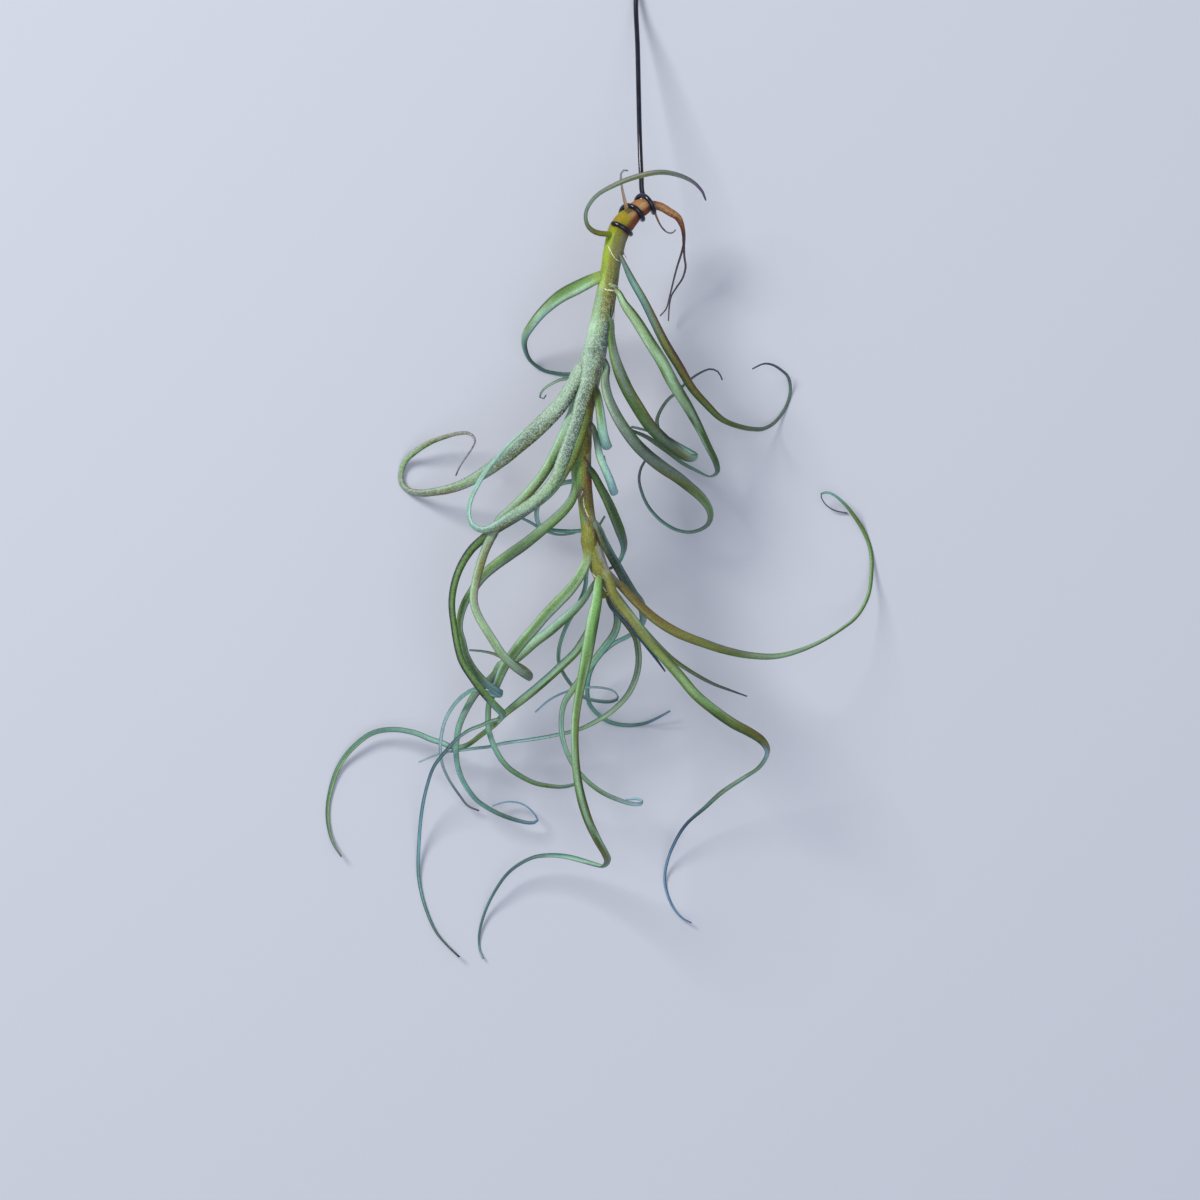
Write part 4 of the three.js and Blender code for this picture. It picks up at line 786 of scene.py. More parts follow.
        line=[(-6.2, 73, 54), (-2.9, 69.4, 57.2), (-1.4, 63.9, 58.8), (-0.1, 57.5, 61.6),
            (2, 52.2, 65), (4, 47.5, 65), (5.3, 43.8, 61.6), (5.9, 42.8, 55), (5.5, 44.4, 47),
            (3.6, 48.4, 41), (2.2, 53, 38), (1.2, 58, 37)],
    ),
    # Pale leaf behind the stem on the left, curled under
    "leaf_13": dict(
        side=-1,
        widths=[(0, 2), (0.3, 2.8), (0.57, 2.4), (0.71, 1.7), (0.86, 1.2), (1, 0.8)],
        tones="""0 khaki, 0.15 sage sage leaf, 0.28 leaf leaf silver, 0.42 silver silver foam,
            0.55 sage leaf sage, 0.68 teal foam teal, 0.8 teal, 1 foam foam teal""",
        line=[(-6.6, 63, 54.6), (-9.4, 57.6, 50), (-13.7, 52, 44), (-19.4, 46.4, 37),
            (-24.3, 42.8, 31.5), (-28.5, 40.4, 27.5), (-32.5, 38.4, 24.5), (-34.7, 35.6, 22),
            (-32.7, 33.6, 19.5), (-28.7, 31.6, 17), (-21.3, 27.6, 13.5), (-16.4, 26.4, 11.5),
            (-10.3, 27.2, 9.5), (-7, 28.8, 8.5)],
    ),
    # Second leaf behind the stem, which crosses to the right below it
    "leaf_14": dict(
        side=-1,
        widths=[(0, 2), (0.17, 2.6), (0.35, 2.2), (0.5, 1.8), (0.67, 1.8), (0.83, 1.6), (1, 0.8)],
        tones="""0 khaki khaki olive, 0.15 teal teal foam, 0.28 silver slate slate,
            0.42 silver slate slate, 0.55 haze teal haze, 0.68 sea sea teal, 0.8 teal, 1 slate""",
        line=[(-6.4, 53, 55.4), (-8.8, 48.5, 50.6), (-16.1, 46.6, 46), (-20.9, 44.2, 42.4),
            (-24.1, 40.2, 38), (-25.5, 36.2, 34.5), (-25.1, 31.4, 31.5), (-23.1, 29, 30),
            (-19.5, 28.2, 28.5), (-14.3, 27.8, 27), (-9.4, 27.8, 26), (-1.2, 29.4, 25.5),
            (2, 33.9, 25.5)],
    ),
    # Left leaf that folds short and drops a fine tail
    "leaf_15": dict(
        scurf=0.2, sleeve="leaf khaki brown", mouth=(-5, 9), reach=13, rim=12,
        widths=[(0, 4), (0.06, 4.2), (0.15, 4.2), (0.25, 4.5), (0.33, 4), (0.38, 3.2), (0.45, 2.6),
            (0.52, 3), (0.6, 3.2), (0.65, 2), (0.72, 1.6), (0.85, 1.3), (0.95, 1), (1, 0.6)],
        tones="""0 foam sage leaf, 0.15 mint sage leaf, 0.28 sage leaf slate, 0.42 leaf moss silver,
            0.55 sea moss slate, 0.63 foam blue blue, 0.68 teal sea teal, 0.8 haze,
            0.9 haze slate haze, 1 slate plum slate""",
        line=[(-6.5, 58, 55.6), (-9.8, 52, 55.6), (-9.6, 46, 54.8), (-11, 40.4, 54),
            (-14.2, 36, 53), (-18.8, 31.6, 51.5), (-23.6, 27.6, 50), (-30.1, 22.4, 48),
            (-36.7, 17.8, 46), (-42.7, 13.4, 44), (-47.4, 9.2, 42.5), (-51.6, 3.2, 41),
            (-54.4, -1.4, 40), (-55.9, -6, 39.5), (-56.5, -11.3, 39), (-55.1, -16.9, 39.5),
            (-53.8, -22.3, 40), (-50.5, -28.2, 41), (-45.2, -33.9, 41.5), (-41.4, -36.6, 40),
            (-39.8, -38, 36.8), (-44.4, -37.7, 34), (-50.5, -36, 33), (-55.4, -38.7, 31),
            (-58.9, -42.3, 28.5), (-61.5, -46.4, 26.5), (-63.3, -50.9, 24.5), (-64.6, -59.2, 20),
            (-64, -65.8, 16), (-61.7, -71.9, 12), (-57, -79.3, 7.5), (-53.4, -83.8, 5),
            (-49.1, -85.6, 4)],
    ),
    # Dark leaf on the right of the stem that ducks under it
    "leaf_16": dict(
        sleeve="moss moss ink",
        widths=[(0, 2.6), (0.16, 3.4), (0.3, 4), (0.45, 4), (0.55, 3.2), (0.65, 2.2), (0.8, 1.8),
            (1, 0.9)],
        tones="""0 moss moss ink, 0.12 moss moss ink, 0.28 moss ink moss, 0.42 slate moss moss,
            0.55 teal slate slate, 0.68 foam teal teal, 0.8 moss, 1 sea sea navy""",
        line=[(-6.4, 55, 56), (-2.8, 50.6, 59.2), (-0.4, 46, 60.4), (2.8, 40, 60.8),
            (5.6, 33.6, 59), (8, 27.6, 54), (9.6, 22, 47), (8.9, 18, 40), (6.9, 14.6, 34),
            (2, 12.2, 29.5), (-2.6, 13.4, 26.4), (-4.8, 16.4, 24.6)],
    ),
    # Dark leaf that passes under the tip and curls out flat on the surface
    "leaf_17": dict(
        sleeve="ink ink slate",
        widths=[(0, 2.8), (0.1, 3.6), (0.25, 3.8), (0.4, 3.2), (0.5, 2.4), (0.6, 1.9), (0.75, 1.7),
            (0.87, 1.5), (1, 0.7)],
        tones="""0 olive ink slate, 0.15 ink ink sea, 0.28 dust slate slate, 0.42 teal haze haze,
            0.55 teal foam sea, 0.68 teal, 0.8 teal, 0.9 sea, 1 navy blue navy""",
        line=[(-4, 33, 58), (-0.8, 28.8, 61.2), (1.2, 24, 62), (3.8, 18.8, 61.4), (6.8, 13.6, 58.5),
            (10, 8, 54), (13.4, 2.4, 48), (16.2, -1.2, 42), (17.4, -6, 36), (16.8, -9.7, 31),
            (13.8, -13, 27), (11, -14.7, 24.5), (4.8, -18, 20), (-0.4, -22.8, 16),
            (-3.6, -28.2, 12.5), (-5, -34, 9.5), (-5, -39.4, 7), (-3.8, -43, 4.6),
            (0.2, -47.3, 2.2), (4.4, -49.7, 0.8), (10.7, -50.9, 0.2), (17.6, -50.3, 1),
            (22.7, -48.2, 4), (28.5, -45, 7)],
    ),
    # Left leaf of the tip that sweeps down and across
    "leaf_18": dict(
        scurf=0.2, sleeve="khaki khaki umber", mouth=(-6, 6), reach=12, rim=12,
        widths=[(0, 4), (0.08, 4.4), (0.16, 4.6), (0.3, 4.2), (0.4, 4.2), (0.5, 3.6), (0.6, 2.4),
            (0.7, 2.2), (0.8, 2.1), (0.9, 1.8), (1, 1.2)],
        tones="""0 mint sage sage, 0.1 mint leaf sage, 0.2 sage leaf silver, 0.3 mint leaf silver,
            0.4 mint leaf sage, 0.5 foam leaf silver, 0.6 sea leaf slate, 0.7 teal teal silver,
            0.8 sea leaf sea, 0.9 moss moss slate, 1 sea sea slate""",
        line=[(-1.6, 22, 59.2), (-4.8, 17.2, 61.4), (-7.6, 10.2, 63), (-12, 4, 63.5),
            (-17.2, -1.4, 62), (-22, -6.4, 58.4), (-26.6, -11.8, 53.4), (-31.1, -16.8, 47.5),
            (-35.3, -22.2, 42), (-38.4, -26.8, 37.5), (-40.3, -30.9, 34), (-42.2, -35.7, 30.5),
            (-44.7, -41.9, 28.6), (-45.1, -46.6, 29), (-44.9, -52, 31), (-42.7, -58.8, 31.4),
            (-40, -63.9, 31), (-36.7, -67.7, 30.5), (-32.1, -70.9, 30.4), (-26.3, -73.7, 30.8),
            (-20.2, -74.9, 32), (-15.3, -75.2, 34), (-10.5, -74.2, 36), (-8.9, -73.3, 37)],
    ),
    # Left leaf of the tip, under the last one, with an open loop at its end
    "leaf_19": dict(
        widths=[(0, 1.8), (0.05, 2.4), (0.12, 3.6), (0.25, 4), (0.33, 3.8), (0.42, 3.2), (0.5, 2.6),
            (0.6, 2.2), (0.7, 2), (0.8, 1.8), (0.88, 1.3), (1, 0.6)],
        tones="""0 mint, 0.15 foam mint leaf, 0.28 mint mint sage, 0.42 leaf slate slate,
            0.55 teal teal silver, 0.68 haze teal teal, 0.8 sea sea slate, 0.9 blue,
            1 haze blue haze""",
        line=[(0.4, 11, 59.2), (-3.2, 5.2, 57.4), (-6, 0.6, 56.6), (-9.6, -3.4, 54.4),
            (-15, -8.2, 51), (-20.5, -12.8, 46.6), (-25.9, -16.7, 42), (-31, -21.2, 37.4),
            (-35.2, -24.4, 33.4), (-40.3, -26.6, 30.4), (-42, -29.8, 28.4), (-45.7, -33.5, 26.6),
            (-49.8, -37.3, 25.4), (-54.4, -45, 25), (-57, -51.4, 25.4), (-58, -57.9, 25),
            (-58.1, -61.2, 24.4), (-57.5, -67, 22.4), (-55.5, -72.9, 20), (-52.3, -78.1, 17.4),
            (-49.2, -81.6, 15), (-41.6, -86.3, 12), (-33.7, -89.3, 9.5), (-28.3, -90.4, 8),
            (-25.4, -89.7, 7), (-26.7, -87, 6), (-31.1, -83.1, 5.5), (-37.3, -81.9, 5.5),
            (-43.8, -83.7, 6)],
    ),
    # Thin dark leaf behind the tip, with a small loop
    "leaf_20": dict(
        side=-1,
        widths=[(0, 1.6), (0.1, 1.7), (0.4, 1.5), (0.65, 1.5), (0.75, 1.3), (0.85, 1.1), (1, 0.6)],
        tones="""0 teal sea sea, 0.4 teal sea silver, 0.68 haze sea sea, 0.8 haze,
            1 blue haze blue""",
        line=[(-2.6, 20, 58.8), (-5.2, 12.6, 53.4), (-6, 5, 50.6), (-8.6, -1.5, 47),
            (-12.9, -9.3, 40.4), (-15.3, -15, 35.5), (-16.6, -20.3, 32), (-16.6, -25, 29),
            (-14.9, -29.4, 27), (-11, -35, 24.5), (-6.6, -39.2, 22.5), (-0.4, -40.9, 20.5),
            (4.9, -41, 18.5), (7.6, -39.5, 16.5), (5.8, -36.8, 15), (0.4, -35.4, 14),
            (-5.8, -35.4, 13), (-12.4, -36.7, 12.5), (-20.1, -40.2, 12), (-26.3, -45.5, 12)],
    ),
    # Central leaf of the tip, on the front, bent hard at its end and trailing away
    "leaf_21": dict(
        widths=[(0, 2.8), (0.03, 3.3), (0.06, 4.3), (0.1, 5), (0.16, 4.8), (0.22, 3.6), (0.3, 2.9),
            (0.36, 3.2), (0.43, 3.7), (0.5, 3.4), (0.55, 3), (0.62, 2.9), (0.7, 2.7), (0.78, 1.7),
            (0.87, 1.3), (0.94, 1), (1, 0.6)],
        tones="""0 mint bright bright, 0.12 mint bright moss, 0.2 bright moss sage,
            0.3 mint leaf olive, 0.4 leaf mint moss, 0.46 moss mint olive, 0.51 olive moss mint,
            0.56 olive olive sage, 0.6 slate slate teal, 0.64 teal foam mint, 0.69 foam mint teal,
            0.73 foam teal sea, 0.77 slate sea sea, 0.82 sea navy sea, 0.9 sea navy teal,
            0.96 sea sea navy, 1 haze blue haze""",
        line=[(0.8, 12, 59.6), (-0.6, 7.2, 64.2), (-1.2, 0, 67.4), (-2.8, -8, 73),
            (-4.2, -15.9, 78), (-5.9, -25.6, 83.5), (-7.9, -35.3, 87), (-9.6, -46, 88.5),
            (-9.9, -59, 86.5), (-8.6, -73, 80.5), (-5.3, -86, 71.5), (-1.4, -95, 62.5),
            (2.1, -101.6, 52.5), (3, -104.6, 44.5), (1.4, -106.8, 37.5), (-1.9, -106.4, 32),
            (-7.3, -105, 27), (-13.4, -103.6, 22.5), (-20.4, -103.2, 18), (-27.4, -104.3, 14),
            (-36.5, -109.9, 9), (-42.4, -117.7, 6), (-46.7, -126.6, 2.6), (-49.1, -136.1, 0.8),
            (-48.9, -142.3, 0.4), (-47.4, -145.8, 2)],
    ),
    # Right-hand leaf of the tip, on the front, bent back and curling to the surface
    "leaf_22": dict(
        sleeve="khaki khaki dust", mouth=(-5, 9), reach=13, rim=45,
        widths=[(0, 3), (0.05, 3.6), (0.15, 4), (0.4, 4), (0.48, 3.4), (0.52, 2.8), (0.58, 3),
            (0.68, 2.2), (0.76, 1.4), (0.86, 1.1), (0.95, 1), (1, 0.5)],
        tones="""0 olive, 0.07 olive khaki olive, 0.13 olive olive sage, 0.2 leaf olive moss,
            0.28 leaf sage leaf, 0.35 moss leaf sage, 0.43 moss olive khaki, 0.48 moss khaki brown,
            0.515 haze slate khaki, 0.54 haze haze teal, 0.58 sage teal silver,
            0.63 silver teal sage, 0.68 slate sage sea, 0.73 sea sea ink, 0.78 navy navy ink,
            0.84 navy blue navy, 0.9 blue blue navy, 1 blue navy blue""",
        line=[(1.8, 13, 60), (3.5, 8.6, 65.6), (5.1, 3, 69), (8, -1.8, 70.4), (12.4, -7.2, 72.4),
            (19.4, -16.2, 75), (25.8, -23.4, 77), (31.6, -30, 77.4), (37.7, -37.3, 76),
            (45.2, -43.7, 72.5), (52.9, -49.1, 67), (59.4, -52.6, 60.5), (64.4, -55.9, 53.6),
            (67, -59.6, 46), (66.7, -62.8, 39.5), (63.8, -67.3, 34), (58.1, -71.4, 28.5),
            (49.1, -77.7, 22.5), (42.5, -83.9, 17), (34.8, -91, 12), (30.1, -98.8, 7.5),
            (27.3, -106.4, 3.2), (26.3, -114, 0.6), (27.6, -120.3, 0.1), (30.4, -126, 0.4),
            (33.5, -129.3, 2), (37.2, -131.2, 3)],
    ),
    # Widest sweep on the right, whose far arc rests on the surface
    "leaf_23": dict(
        sleeve="olive taupe dust", mouth=(-5, 8), reach=13, rim=20,
        widths=[(0, 3), (0.05, 3.8), (0.16, 4), (0.25, 3.4), (0.35, 2.6), (0.45, 1.9), (0.55, 1.3),
            (0.65, 1.6), (0.75, 1.6), (0.83, 1.6), (0.9, 1), (1, 0.6)],
        tones="""0 brown brown moss, 0.12 olive brown brown, 0.2 olive, 0.3 leaf olive slate,
            0.4 sage mint sage, 0.5 moss sage mint, 0.6 moss leaf mint, 0.75 moss leaf sage,
            0.85 olive leaf leaf, 0.9 teal, 0.95 navy sea navy, 1 slate""",
        line=[(2.2, 10, 59.8), (7, 6.6, 61.6), (14.4, -0.8, 63.5), (22.4, -7.9, 65),
            (31.1, -13.2, 65), (41, -17.1, 62.5), (50.8, -20.3, 58), (61.1, -22.3, 51.5),
            (70.2, -22.6, 44.5), (78.5, -20.9, 37.5), (88.6, -16.9, 29), (98.1, -11.3, 20.5),
            (104.3, -6.2, 13), (108.7, 1.6, 7.5), (110.3, 10.8, 2.6), (110.1, 19.8, 0.3),
            (107.6, 27.1, 0.7), (102.9, 34.6, 3.8), (98.2, 40, 7), (93.3, 43.4, 8.4),
            (89.9, 43.2, 7), (91, 39.8, 4.5), (95.1, 36.6, 2), (100.6, 35.4, 0.8)],
    ),
    # Thin leaf close under the right-hand one
    "leaf_24": dict(
        side=-1,
        widths=[(0, 1.6), (0.3, 1.9), (0.5, 1.8), (0.7, 1.5), (0.85, 1.1), (1, 0.5)],
        tones="""0 olive, 0.3 silver slate olive, 0.55 olive olive sage, 0.7 olive slate slate,
            1 plum slate plum""",
        line=[(2.4, 9, 59), (5.6, 4.2, 58.2), (10, -2, 59.2), (16.1, -10, 59.5),
            (22.5, -17.2, 57.5), (28.6, -23.2, 54), (36.1, -28.5, 49), (45.1, -33.5, 42.5),
            (52.6, -36.4, 37), (59.2, -38.8, 32)],
    ),
    # Thin dark leaf that shows left of the right-hand one
    "leaf_25": dict(
        side=-1,
        widths=[(0, 1.4), (0.55, 1.5), (0.8, 1.2), (1, 0.6)],
        tones="""0 navy ink navy, 1 navy""",
        line=[(2, 5, 60), (3.6, -1.6, 61.4), (6.6, -5.6, 62.8), (10.8, -9.4, 63.2), (16, -15.4, 62),
            (21.6, -22.4, 59), (26, -28.5, 55)],
    ),
    # Leaf behind the tip that swings right, then back under everything to the left
    "leaf_26": dict(
        side=-1,
        widths=[(0, 2), (0.1, 2.6), (0.3, 2.6), (0.45, 2.2), (0.55, 1.6), (0.7, 1.3), (0.85, 1.2),
            (1, 0.5)],
        tones="""0 olive slate olive, 0.15 sage moss olive, 0.28 silver slate silver,
            0.42 sage silver silver, 0.55 sage teal sage, 0.68 haze haze teal, 0.8 haze teal teal,
            1 haze""",
        line=[(2.2, 7, 58.6), (4.2, -0.4, 55.6), (6.5, -4.2, 55.2), (9.6, -8, 55),
            (13.9, -14.1, 53), (15.3, -20.1, 49.5), (15.4, -26.2, 46), (13.8, -32.8, 42),
            (10.6, -38.8, 38), (4.1, -45.3, 33.5), (-3.6, -50, 29.5), (-9, -52.4, 27),
            (-16.7, -54.3, 24.4), (-26.9, -56.2, 22), (-38.7, -57.9, 18.6), (-45, -59.4, 16.4),
            (-48.4, -59.8, 15.4), (-56.2, -60.8, 13.2), (-61.6, -61.6, 12), (-66.5, -62.8, 11),
            (-73.5, -65.8, 10)],
    ),
    # Pale leaf behind the tip that curls left and returns across
    "leaf_27": dict(
        side=-1,
        widths=[(0, 1.8), (0.1, 2.8), (0.25, 3.2), (0.4, 2.8), (0.5, 2.2), (0.6, 2), (0.7, 1.9),
            (0.8, 1.9), (0.9, 1.7), (1, 0.8)],
        tones="""0 olive, 0.15 sage slate slate, 0.28 teal teal mint, 0.42 leaf sage mint,
            0.55 silver teal foam, 0.7 sage teal sage, 0.8 silver leaf slate, 0.92 haze,
            1 haze blue haze""",
        line=[(1.8, 13, 59), (2.6, 6.4, 53.6), (4.2, 1, 50.6), (6.6, -4.2, 48.6), (7, -9, 47),
            (5.6, -13.8, 45.4), (1.4, -19.5, 44), (-2.8, -25, 42.5), (-6.8, -30.3, 41),
            (-11.7, -37, 39.4), (-14.6, -42, 38), (-15.6, -48.8, 36.6), (-15.1, -55.4, 35),
            (-13.1, -61.8, 33.5), (-11.1, -65.8, 32.2), (-7.3, -70.8, 30.6), (-0.1, -77, 28),
            (8.2, -80.9, 26), (14.5, -82.5, 24), (17.6, -81.8, 22), (15.6, -80.4, 20),
            (10.5, -80.7, 19)],
    ),
    # Leaf behind the tip that reaches furthest left, its arc resting on the surface
    "leaf_28": dict(
        side=-1,
        widths=[(0, 2.4), (0.1, 3.2), (0.2, 3.5), (0.33, 3.4), (0.4, 2.4), (0.48, 1.9), (0.55, 2.4),
            (0.65, 2.1), (0.75, 2), (0.85, 1.8), (0.93, 1.4), (1, 0.6)],
        tones="""0 sea moss moss, 0.15 leaf mint mint, 0.28 moss mint foam, 0.4 sage leaf sage,
            0.48 moss moss sage, 0.55 teal foam foam, 0.68 sea sea teal, 0.8 sage leaf teal,
            0.9 sage leaf sea, 1 slate sea slate""",
        line=[(1.4, 9, 58.8), (-0.9, 1, 54.8), (-2.8, -6, 51.8), (-4.4, -12, 49.6),
            (-6.9, -16.6, 47.4), (-9.8, -20.9, 45), (-16.2, -27.1, 40.5), (-20.2, -30.8, 38),
            (-26.4, -36.2, 35), (-32.5, -41.1, 31.4), (-38.7, -46.2, 28), (-42.8, -50.4, 25.6),
            (-47.9, -54.4, 23), (-53.8, -58.7, 19.6), (-59.1, -59.7, 17.6), (-63.8, -57.8, 15.6),
            (-67.8, -56.7, 14), (-75.2, -53.8, 11.5), (-84.2, -52.5, 8.5), (-92.6, -54.1, 6),
            (-100.2, -59.8, 4), (-106.1, -67.6, 1.8), (-109.6, -77.6, 0.8), (-110.8, -87.2, 0.7),
            (-109.7, -95.2, 1.2), (-107.9, -99.9, 3), (-105, -104.2, 4.5)],
    ),
    # Dead tip of an old leaf, dry and curled over like a crook
    "dry_leaf": dict(
        sleeve="straw straw dust",
        widths=[(0, 2.2), (0.3, 1.4), (0.55, 0.9), (0.8, 0.8), (1, 0.6)],
        tones="""0 straw straw dust, 0.3 straw straw dust, 0.55 dust straw dust,
            1 haze dust haze""",
        line=[(11.4, 155.4, 43.6), (10.8, 156.6, 46.6), (10.2, 159, 47.6), (9.2, 163.4, 48.4),
            (8.4, 168.4, 49.6), (8.6, 171.4, 49.4), (9.8, 172.4, 48.4), (11.2, 172.2, 47.6)],
    ),
}
print(len(LEAVES), "leaves")

# %% [markdown]
# A blade's section is an arc. In the sheath it wraps nearly all the way round the stem. Where a
# broad blade leaves the stem the arc opens, its edges sweep down over the stem as a slanting mouth,
# and it narrows to a shallow channel that is carried on to the tip. So one function draws sheath
# and blade: half_angle is how far the arc reaches to each side, and radius how tight it is. A
# narrow leaf's sheath is part of the column, and its blade comes straight out of it.

# %% Sheath and blade
BLADE_STEP = 2.0
BLADE_SIDES = 24
BLADE_THICKNESS = (0.45, 1.4)
THICKNESS_SHARE = 0.22
BLADE_ANGLE = math.radians(47)
LEVELLING_PER_MM = 0.3 / 7
LEAVING_STEPS = 3
FACING = 0.8
SHEATH_ANGLE = math.radians(165)
SHEATH_LIFT = (-0.35, 0.2)
SHEATH_THICKNESS = 0.5
SHEATH_SPACING = 4
OVERLAP_STEPS = 2
TUCKED = 0.5
TONE_CHANGE = (2, 9)
SCURF_LOSS = 0.6
# Painted shade at a blade's edges: where across the blade it starts and ends, and how much it
# darkens
MARGIN = (0.6, 0.92)
MARGIN_SHADE = 0.6
RIM_EDGE = (0.9, 0.96)
RIM_WHOLE = 0.25
RIM_LEAST = 0.1


def leaf_course(leaf):
    """The leaf's places from the start of its sheath to its tip, and how far each lies past the
    mouth of the sheath, in mm."""
    mouth = int(np.linalg.norm(stem_places - leaf["line"][0], axis=1).argmin())
    reach = min(mouth, round(leaf["reach"] / STEM_STEP))
    sheath = [tuple(p) for p in stem_places[mouth - reach : mouth : SHEATH_SPACING]]
    points = sheath + leaf["line"][1:] if reach else leaf["line"]
    places = line_through(points, BLADE_STEP)
    past = np.arange(len(places)) * BLADE_STEP - reach
    return places, past, mouth


def leaf_section(leaf, past, mouth):
    """The section function of a leaf, from its widths, and half its width at each place."""
    wide = graph(leaf["widths"], np.clip(past / past[-1], 0, 1))
    opened = smooth(past, *leaf["mouth"])
    along_stem = np.clip((mouth + past / STEM_STEP) / (len(stem_places) - 1), 0, 1)
    sleeve = graph(STEM_RADIUS, along_stem) + np.interp(past, (past[0], 0), SHEATH_LIFT)
    half_angle = SHEATH_ANGLE + (BLADE_ANGLE - SHEATH_ANGLE) * opened
    radius = sleeve + (wide / (2 * math.sin(BLADE_ANGLE)) - sleeve) * opened
    thick = np.clip(wide * THICKNESS_SHARE, *BLADE_THICKNESS)
    thick = np.minimum(SHEATH_THICKNESS + (thick - SHEATH_THICKNESS) * opened, wide)
    sunk = radius * np.cos(half_angle) * opened

    def section(k, x, z, slim=1.0):
        reach = radius[k] + z * thick[k] / 2 * slim
        angle = x * half_angle[k]
        return reach * np.sin(angle), reach * np.cos(angle) - sunk[k]

    return section, radius * half_angle


def leaf_shape(leaf):
    """Adds the leaf's sheath to the stem's shape, and returns the shape of its blade."""
    places, past, mouth = leaf_course(leaf)
    section, half_width = leaf_section(leaf, past, mouth)
    share = np.clip(past / past[-1], 0, 1)
    start = np.searchsorted(past, 0) + 1
    leaving = unit(places[start + LEAVING_STEPS] - places[start - 1])
    stem_way = stem_tangents[mouth]
    sideways = leaving - stem_way * (leaving @ stem_way)
    first_out = unit(unit(sideways) + FACING * leaf["side"] * UP)
    levelling = np.where(past > 0, LEVELLING_PER_MM * BLADE_STEP, 0.0)
    _, across, out = directions_along(places, first_out, levelling)

    def cover(shape, k, x, z):
        aside, above = section(k, x, z)
        there = places[k] + across[k] * aside[:, None] + out[k] * above[:, None]
        beside = stem_share(places)[k]
        axis_x = np.interp(beside, stem_shares, stem_places[:, 0])
        picture_side = np.clip((there[:, 0] - axis_x) / graph(STEM_RADIUS, beside), -1, 1)
        first_tones = "0 " + leaf["sleeve"] if leaf["sleeve"] else STEM_TONES
        first_tone = tone_at(first_tones, beside, picture_side)
        own_start = leaf["sleeve"] and not leaf["reach"]
        first_scales = leaf["scurf"] if own_start else graph(STEM_SCALES, beside)
        # Painted shade: each blade darkens towards both its edges, where its channel turns from the
        # light
        shaded = 1 - MARGIN_SHADE * smooth(np.abs(x), *MARGIN)
        leaf_tone = tone_at(leaf["tones"], share[k], x) * shaded[:, None]
        leaf_scales = leaf["scurf"] * (1 - SCURF_LOSS * share[k])
        blend = smooth(past[k], *TONE_CHANGE)
        faded = 1 - smooth(past[k], leaf["rim"] * RIM_WHOLE, leaf["rim"] + RIM_LEAST)
        paint(
            shape,
            tone=first_tone * (1 - blend[:, None]) + leaf_tone * blend[:, None],
            scales=first_scales * (1 - blend) + leaf_scales * blend,
            paper=smooth(np.abs(x), *RIM_EDGE) * faded,
            skin=skin_places(x * half_width[k], past[k]),
        )

    if leaf["reach"]:
        last = start + OVERLAP_STEPS
        slim = np.where(np.arange(last + 1) > start, TUCKED, 1.0)
        sheath, k, x, z = bent_cylinder(
            places[: last + 1], across, out, lambda k, x, z: section(k, x, z, slim[k]), STEM_SIDES
        )
        cover(sheath, k, x, z)
        add_shape(stem_shape, sheath)
    blade, k, x, z = bent_cylinder(
        places[start:], across[start:], out[start:], lambda k, x, z: section(k + start, x, z),
        BLADE_SIDES,
    )
    cover(blade, k + start, x, z)
    return blade


grown = [
    finish_piece(name + "_blade", leaf_shape(USUAL | leaf), leaf_skin, name)
    for name, leaf in LEAVES.items()
]
grown.append(finish_piece("sheathed_stem", stem_shape, sheath_skin, "stem"))
print("leaves and stem", sum(len(piece.data.polygons) for piece in grown), "faces")

# %% [markdown]
# The root is a woody stump that splits into two wiry fibres, with a curled rootlet beside it. On
# this plant it only ever anchors, so it is dry: orange-brown bark, wrinkled along its length, and
# fibres nearly black.

# %% Root
ROOT_STEP = 0.8
ROOT_SIDES = 14
TUBE_LEVELLING = 0.05
WRINKLE_SIZE = 1.2
WRINKLE_DEPTH = 0.3
# Straw along the middle of the stump, which from above is its top, is partly painted highlight over
# the bark's own orange-tan
ROOT_TONES = """0 bark straw rust, 0.25 bark straw bark, 0.5 rust bark straw, 0.62 rust bark rust,
    0.74 umber rust umber, 0.85 umber umber plum"""
ROOTLET_TONES = "0 straw straw dust, 0.3 rust straw dust, 0.5 umber umber dust, 1 plum dust slate"
FIBRE_TONES = "0 umber umber plum, 0.5 umber plum slate, 0.9 umber plum plum, 1 rust plum plum"
STUMP_RADIUS = [(0, 1.9), (0.15, 1.75), (0.4, 1.6), (0.55, 1.3), (0.7, 0.9), (1, 0.6)]
FIBRE_RADIUS = [(0, 0.5), (1, 0.28)]
ROOT_LINES = [
    # radius, tones, line
    (STUMP_RADIUS, ROOT_TONES, [
        (18.6, 159, 39.8), (24, 158.2, 39), (28, 156, 38), (31.2, 154, 36.5), (32.8, 151.2, 34.5),
        (33.7, 147.4, 31), (33.8, 143.2, 27),
    ]),
    (FIBRE_RADIUS, FIBRE_TONES, [
        (33.8, 143.6, 27.4), (33, 140.4, 24.5), (30.8, 133.3, 19), (28.4, 123.7, 13.4),
        (26.8, 118, 11), (24.4, 115.2, 10),
    ]),
    (FIBRE_RADIUS, FIBRE_TONES, [
        (33.8, 143.6, 27.4), (34.1, 138.5, 23.5), (34.6, 134.5, 20), (33.4, 130.2, 16),
        (31, 126.6, 12), (29, 123.4, 9), (28.2, 119.8, 6.6), (27.8, 113.4, 4),
    ]),
    (FIBRE_RADIUS, ROOTLET_TONES, [
        (21.6, 157.8, 38.9), (22.2, 155.6, 37.8), (23.4, 152.6, 36.4), (25, 149.9, 34.6),
        (27, 148.1, 33), (29, 147.8, 32.4), (30.5, 149.1, 32),
    ]),
]


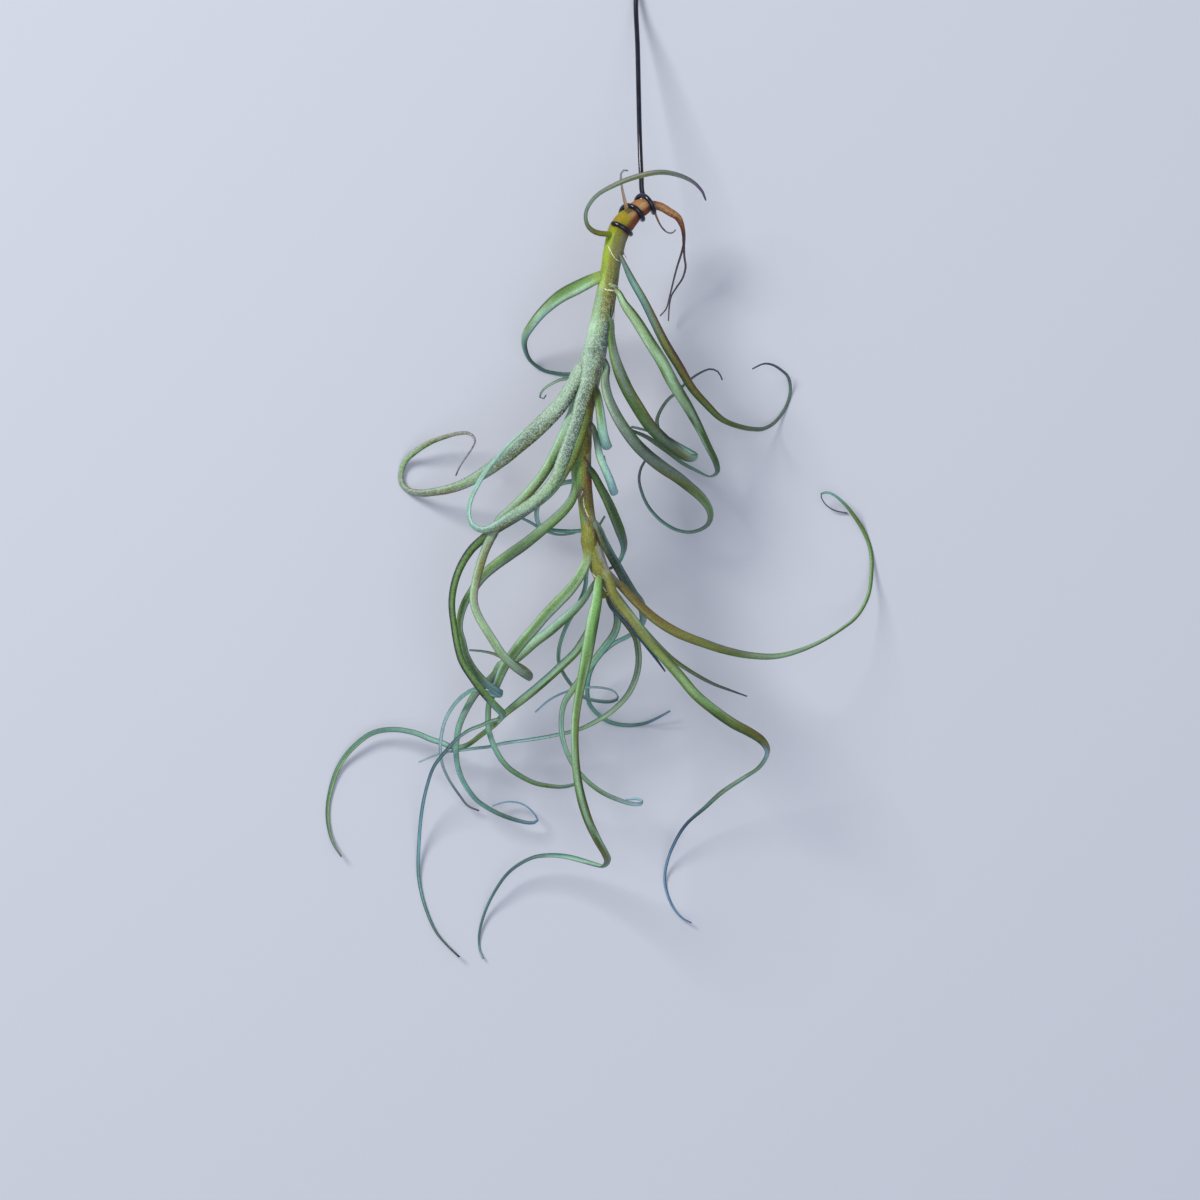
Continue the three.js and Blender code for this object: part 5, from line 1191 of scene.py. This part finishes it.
def woody_root():
    """Dry root bark: colour from tone, darkened in wrinkles."""
    material, add = new_material("dry_root_bark")
    tone = add("Attribute", {"attribute_name": "tone"}).outputs["Color"]
    place = add("TexCoord").outputs["Object"]
    wrinkles = add("TexNoise", Vector=place, Scale=1 / (WRINKLE_SIZE * MM), Detail=3.0)
    shade = add("MapRange", Value=wrinkles, From_Min=0.35, From_Max=0.65, To_Min=0.55, To_Max=1.2)
    color = add("VectorMath", {"operation": "SCALE"}, _0=tone, Scale=shade)
    bump = add("Bump", Height=wrinkles, Strength=0.6, Distance=WRINKLE_DEPTH * MM)
    add("OutputMaterial", _0=add("BsdfPrincipled", Base_Color=color, Roughness=0.75, Normal=bump))
    return material


def tube(places, radius, sides):
    """A round tube with the radius at each place, and for each vertex its share of the length and
    its side, -1 to 1."""
    _, across, out = directions_along(places, UP, TUBE_LEVELLING)
    shape, k, x, z = bent_cylinder(
        places, across, out, lambda k, x, z: (x * radius[k], z * radius[k]), sides
    )
    return shape, np.linspace(0, 1, len(places))[k], x


root_shape = new_shape()
for radius, tones, line in ROOT_LINES:
    places = line_through(line, ROOT_STEP)
    radii = graph(radius, np.linspace(0, 1, len(places)))
    fibre, share, side = tube(places, radii, ROOT_SIDES)
    paint(fibre, tone=tone_at(tones, share, side))
    add_shape(root_shape, fibre)
root = finish_piece("dry_root", root_shape, woody_root(), "root")
print("root", len(root.data.polygons), "faces")

# %% [markdown]
# The wire is two millimetres thick, steel with a black coating, smooth enough to mirror the lamps
# as thin blue-white lines. It passes three times over the front of the foot, then runs down to the
# surface and closes in an open hook. Both ends are rounded where the coating was cut.

# %% Wire
WIRE_RADIUS = 1.0
WIRE_SIDES = 18
WIRE_STEP = 0.8
WIRE_END = 0.1
# Distance from the stem's middle, in mm, by the angle that it has wound, in half turns
COIL_RADII = [(0.5, 4.2), (2.5, 4.4), (4.5, 4.8)]
COIL_POINTS = 31
WIRE_RUN = [
    (17.2, 163.4, 34.4), (16.6, 171, 34.4), (16, 186, 30.6), (15.6, 205, 22), (15.2, 225, 12.6),
    (14.6, 239, 5.2),
]
HOOK_RADIUS = 6.0
HOOK_ANGLE = math.radians(250)
HOOK_POINTS = 9
HOOK_CENTRE = np.array((8.4, 252, WIRE_RADIUS))
COATING_COLOR = "#070b20"
DENT_SIZE = 3.0
DENT_DEPTH = 0.15


def wire_line():
    """The wire's points, from the free end of its hook to the end of its last turn."""
    turns = np.linspace(HOOK_ANGLE, 0, HOOK_POINTS + 1)
    hook = [HOOK_CENTRE + HOOK_RADIUS * np.array((math.cos(a), math.sin(a), 0)) for a in turns]
    coil = []
    for turn in np.linspace(*COIL_ANGLES, COIL_POINTS + 1):
        along = coil_way(turn) / STEM_STEP
        nearest = int(np.clip(round(along), 0, len(stem_places) - 1))
        axis = stem_tangents[nearest]
        centre = stem_places[nearest] + axis * (along - nearest) * STEM_STEP
        right = unit(np.cross(UP, axis))
        spoke = right * math.cos(turn) + np.cross(axis, right) * math.sin(turn)
        coil.append(centre + spoke * graph(COIL_RADII, turn / math.pi))
    return [*hook, *WIRE_RUN[::-1], *coil]


def wire_coating():
    """Black plastic coating, drawn on smooth: a clear gloss over a faintly uneven surface."""
    material, add = new_material("black_coated_wire")
    place = add("TexCoord").outputs["Object"]
    dents = add("TexNoise", Vector=place, Scale=1 / (DENT_SIZE * MM), Detail=1.0)
    shade = add("MapRange", Value=dents, From_Min=0.35, From_Max=0.65, To_Min=0.7, To_Max=1.3)
    color = add("VectorMath", {"operation": "SCALE"}, _0=linear(COATING_COLOR)[:3], Scale=shade)
    rough = add("MapRange", Value=dents, From_Min=0.3, From_Max=0.7, To_Min=0.16, To_Max=0.26)
    bump = add("Bump", Height=dents, Strength=0.2, Distance=DENT_DEPTH * MM)
    shader = add("BsdfPrincipled", Base_Color=color, Roughness=rough, IOR=1.5, Normal=bump)
    add("OutputMaterial", _0=shader)
    return material


wire_places = line_through(wire_line(), WIRE_STEP)
to_end = steps_to_end(wire_places) * WIRE_STEP + WIRE_END
wire_radius = WIRE_RADIUS * np.sqrt(1 - np.clip(1 - to_end / WIRE_RADIUS, 0, 1) ** 2)
wire_shape = tube(wire_places, wire_radius, WIRE_SIDES)[0]
finish_piece("coated_wire", wire_shape, wire_coating(), "wire_hanger")
print("wire", round(len(wire_places) * WIRE_STEP), "mm long")
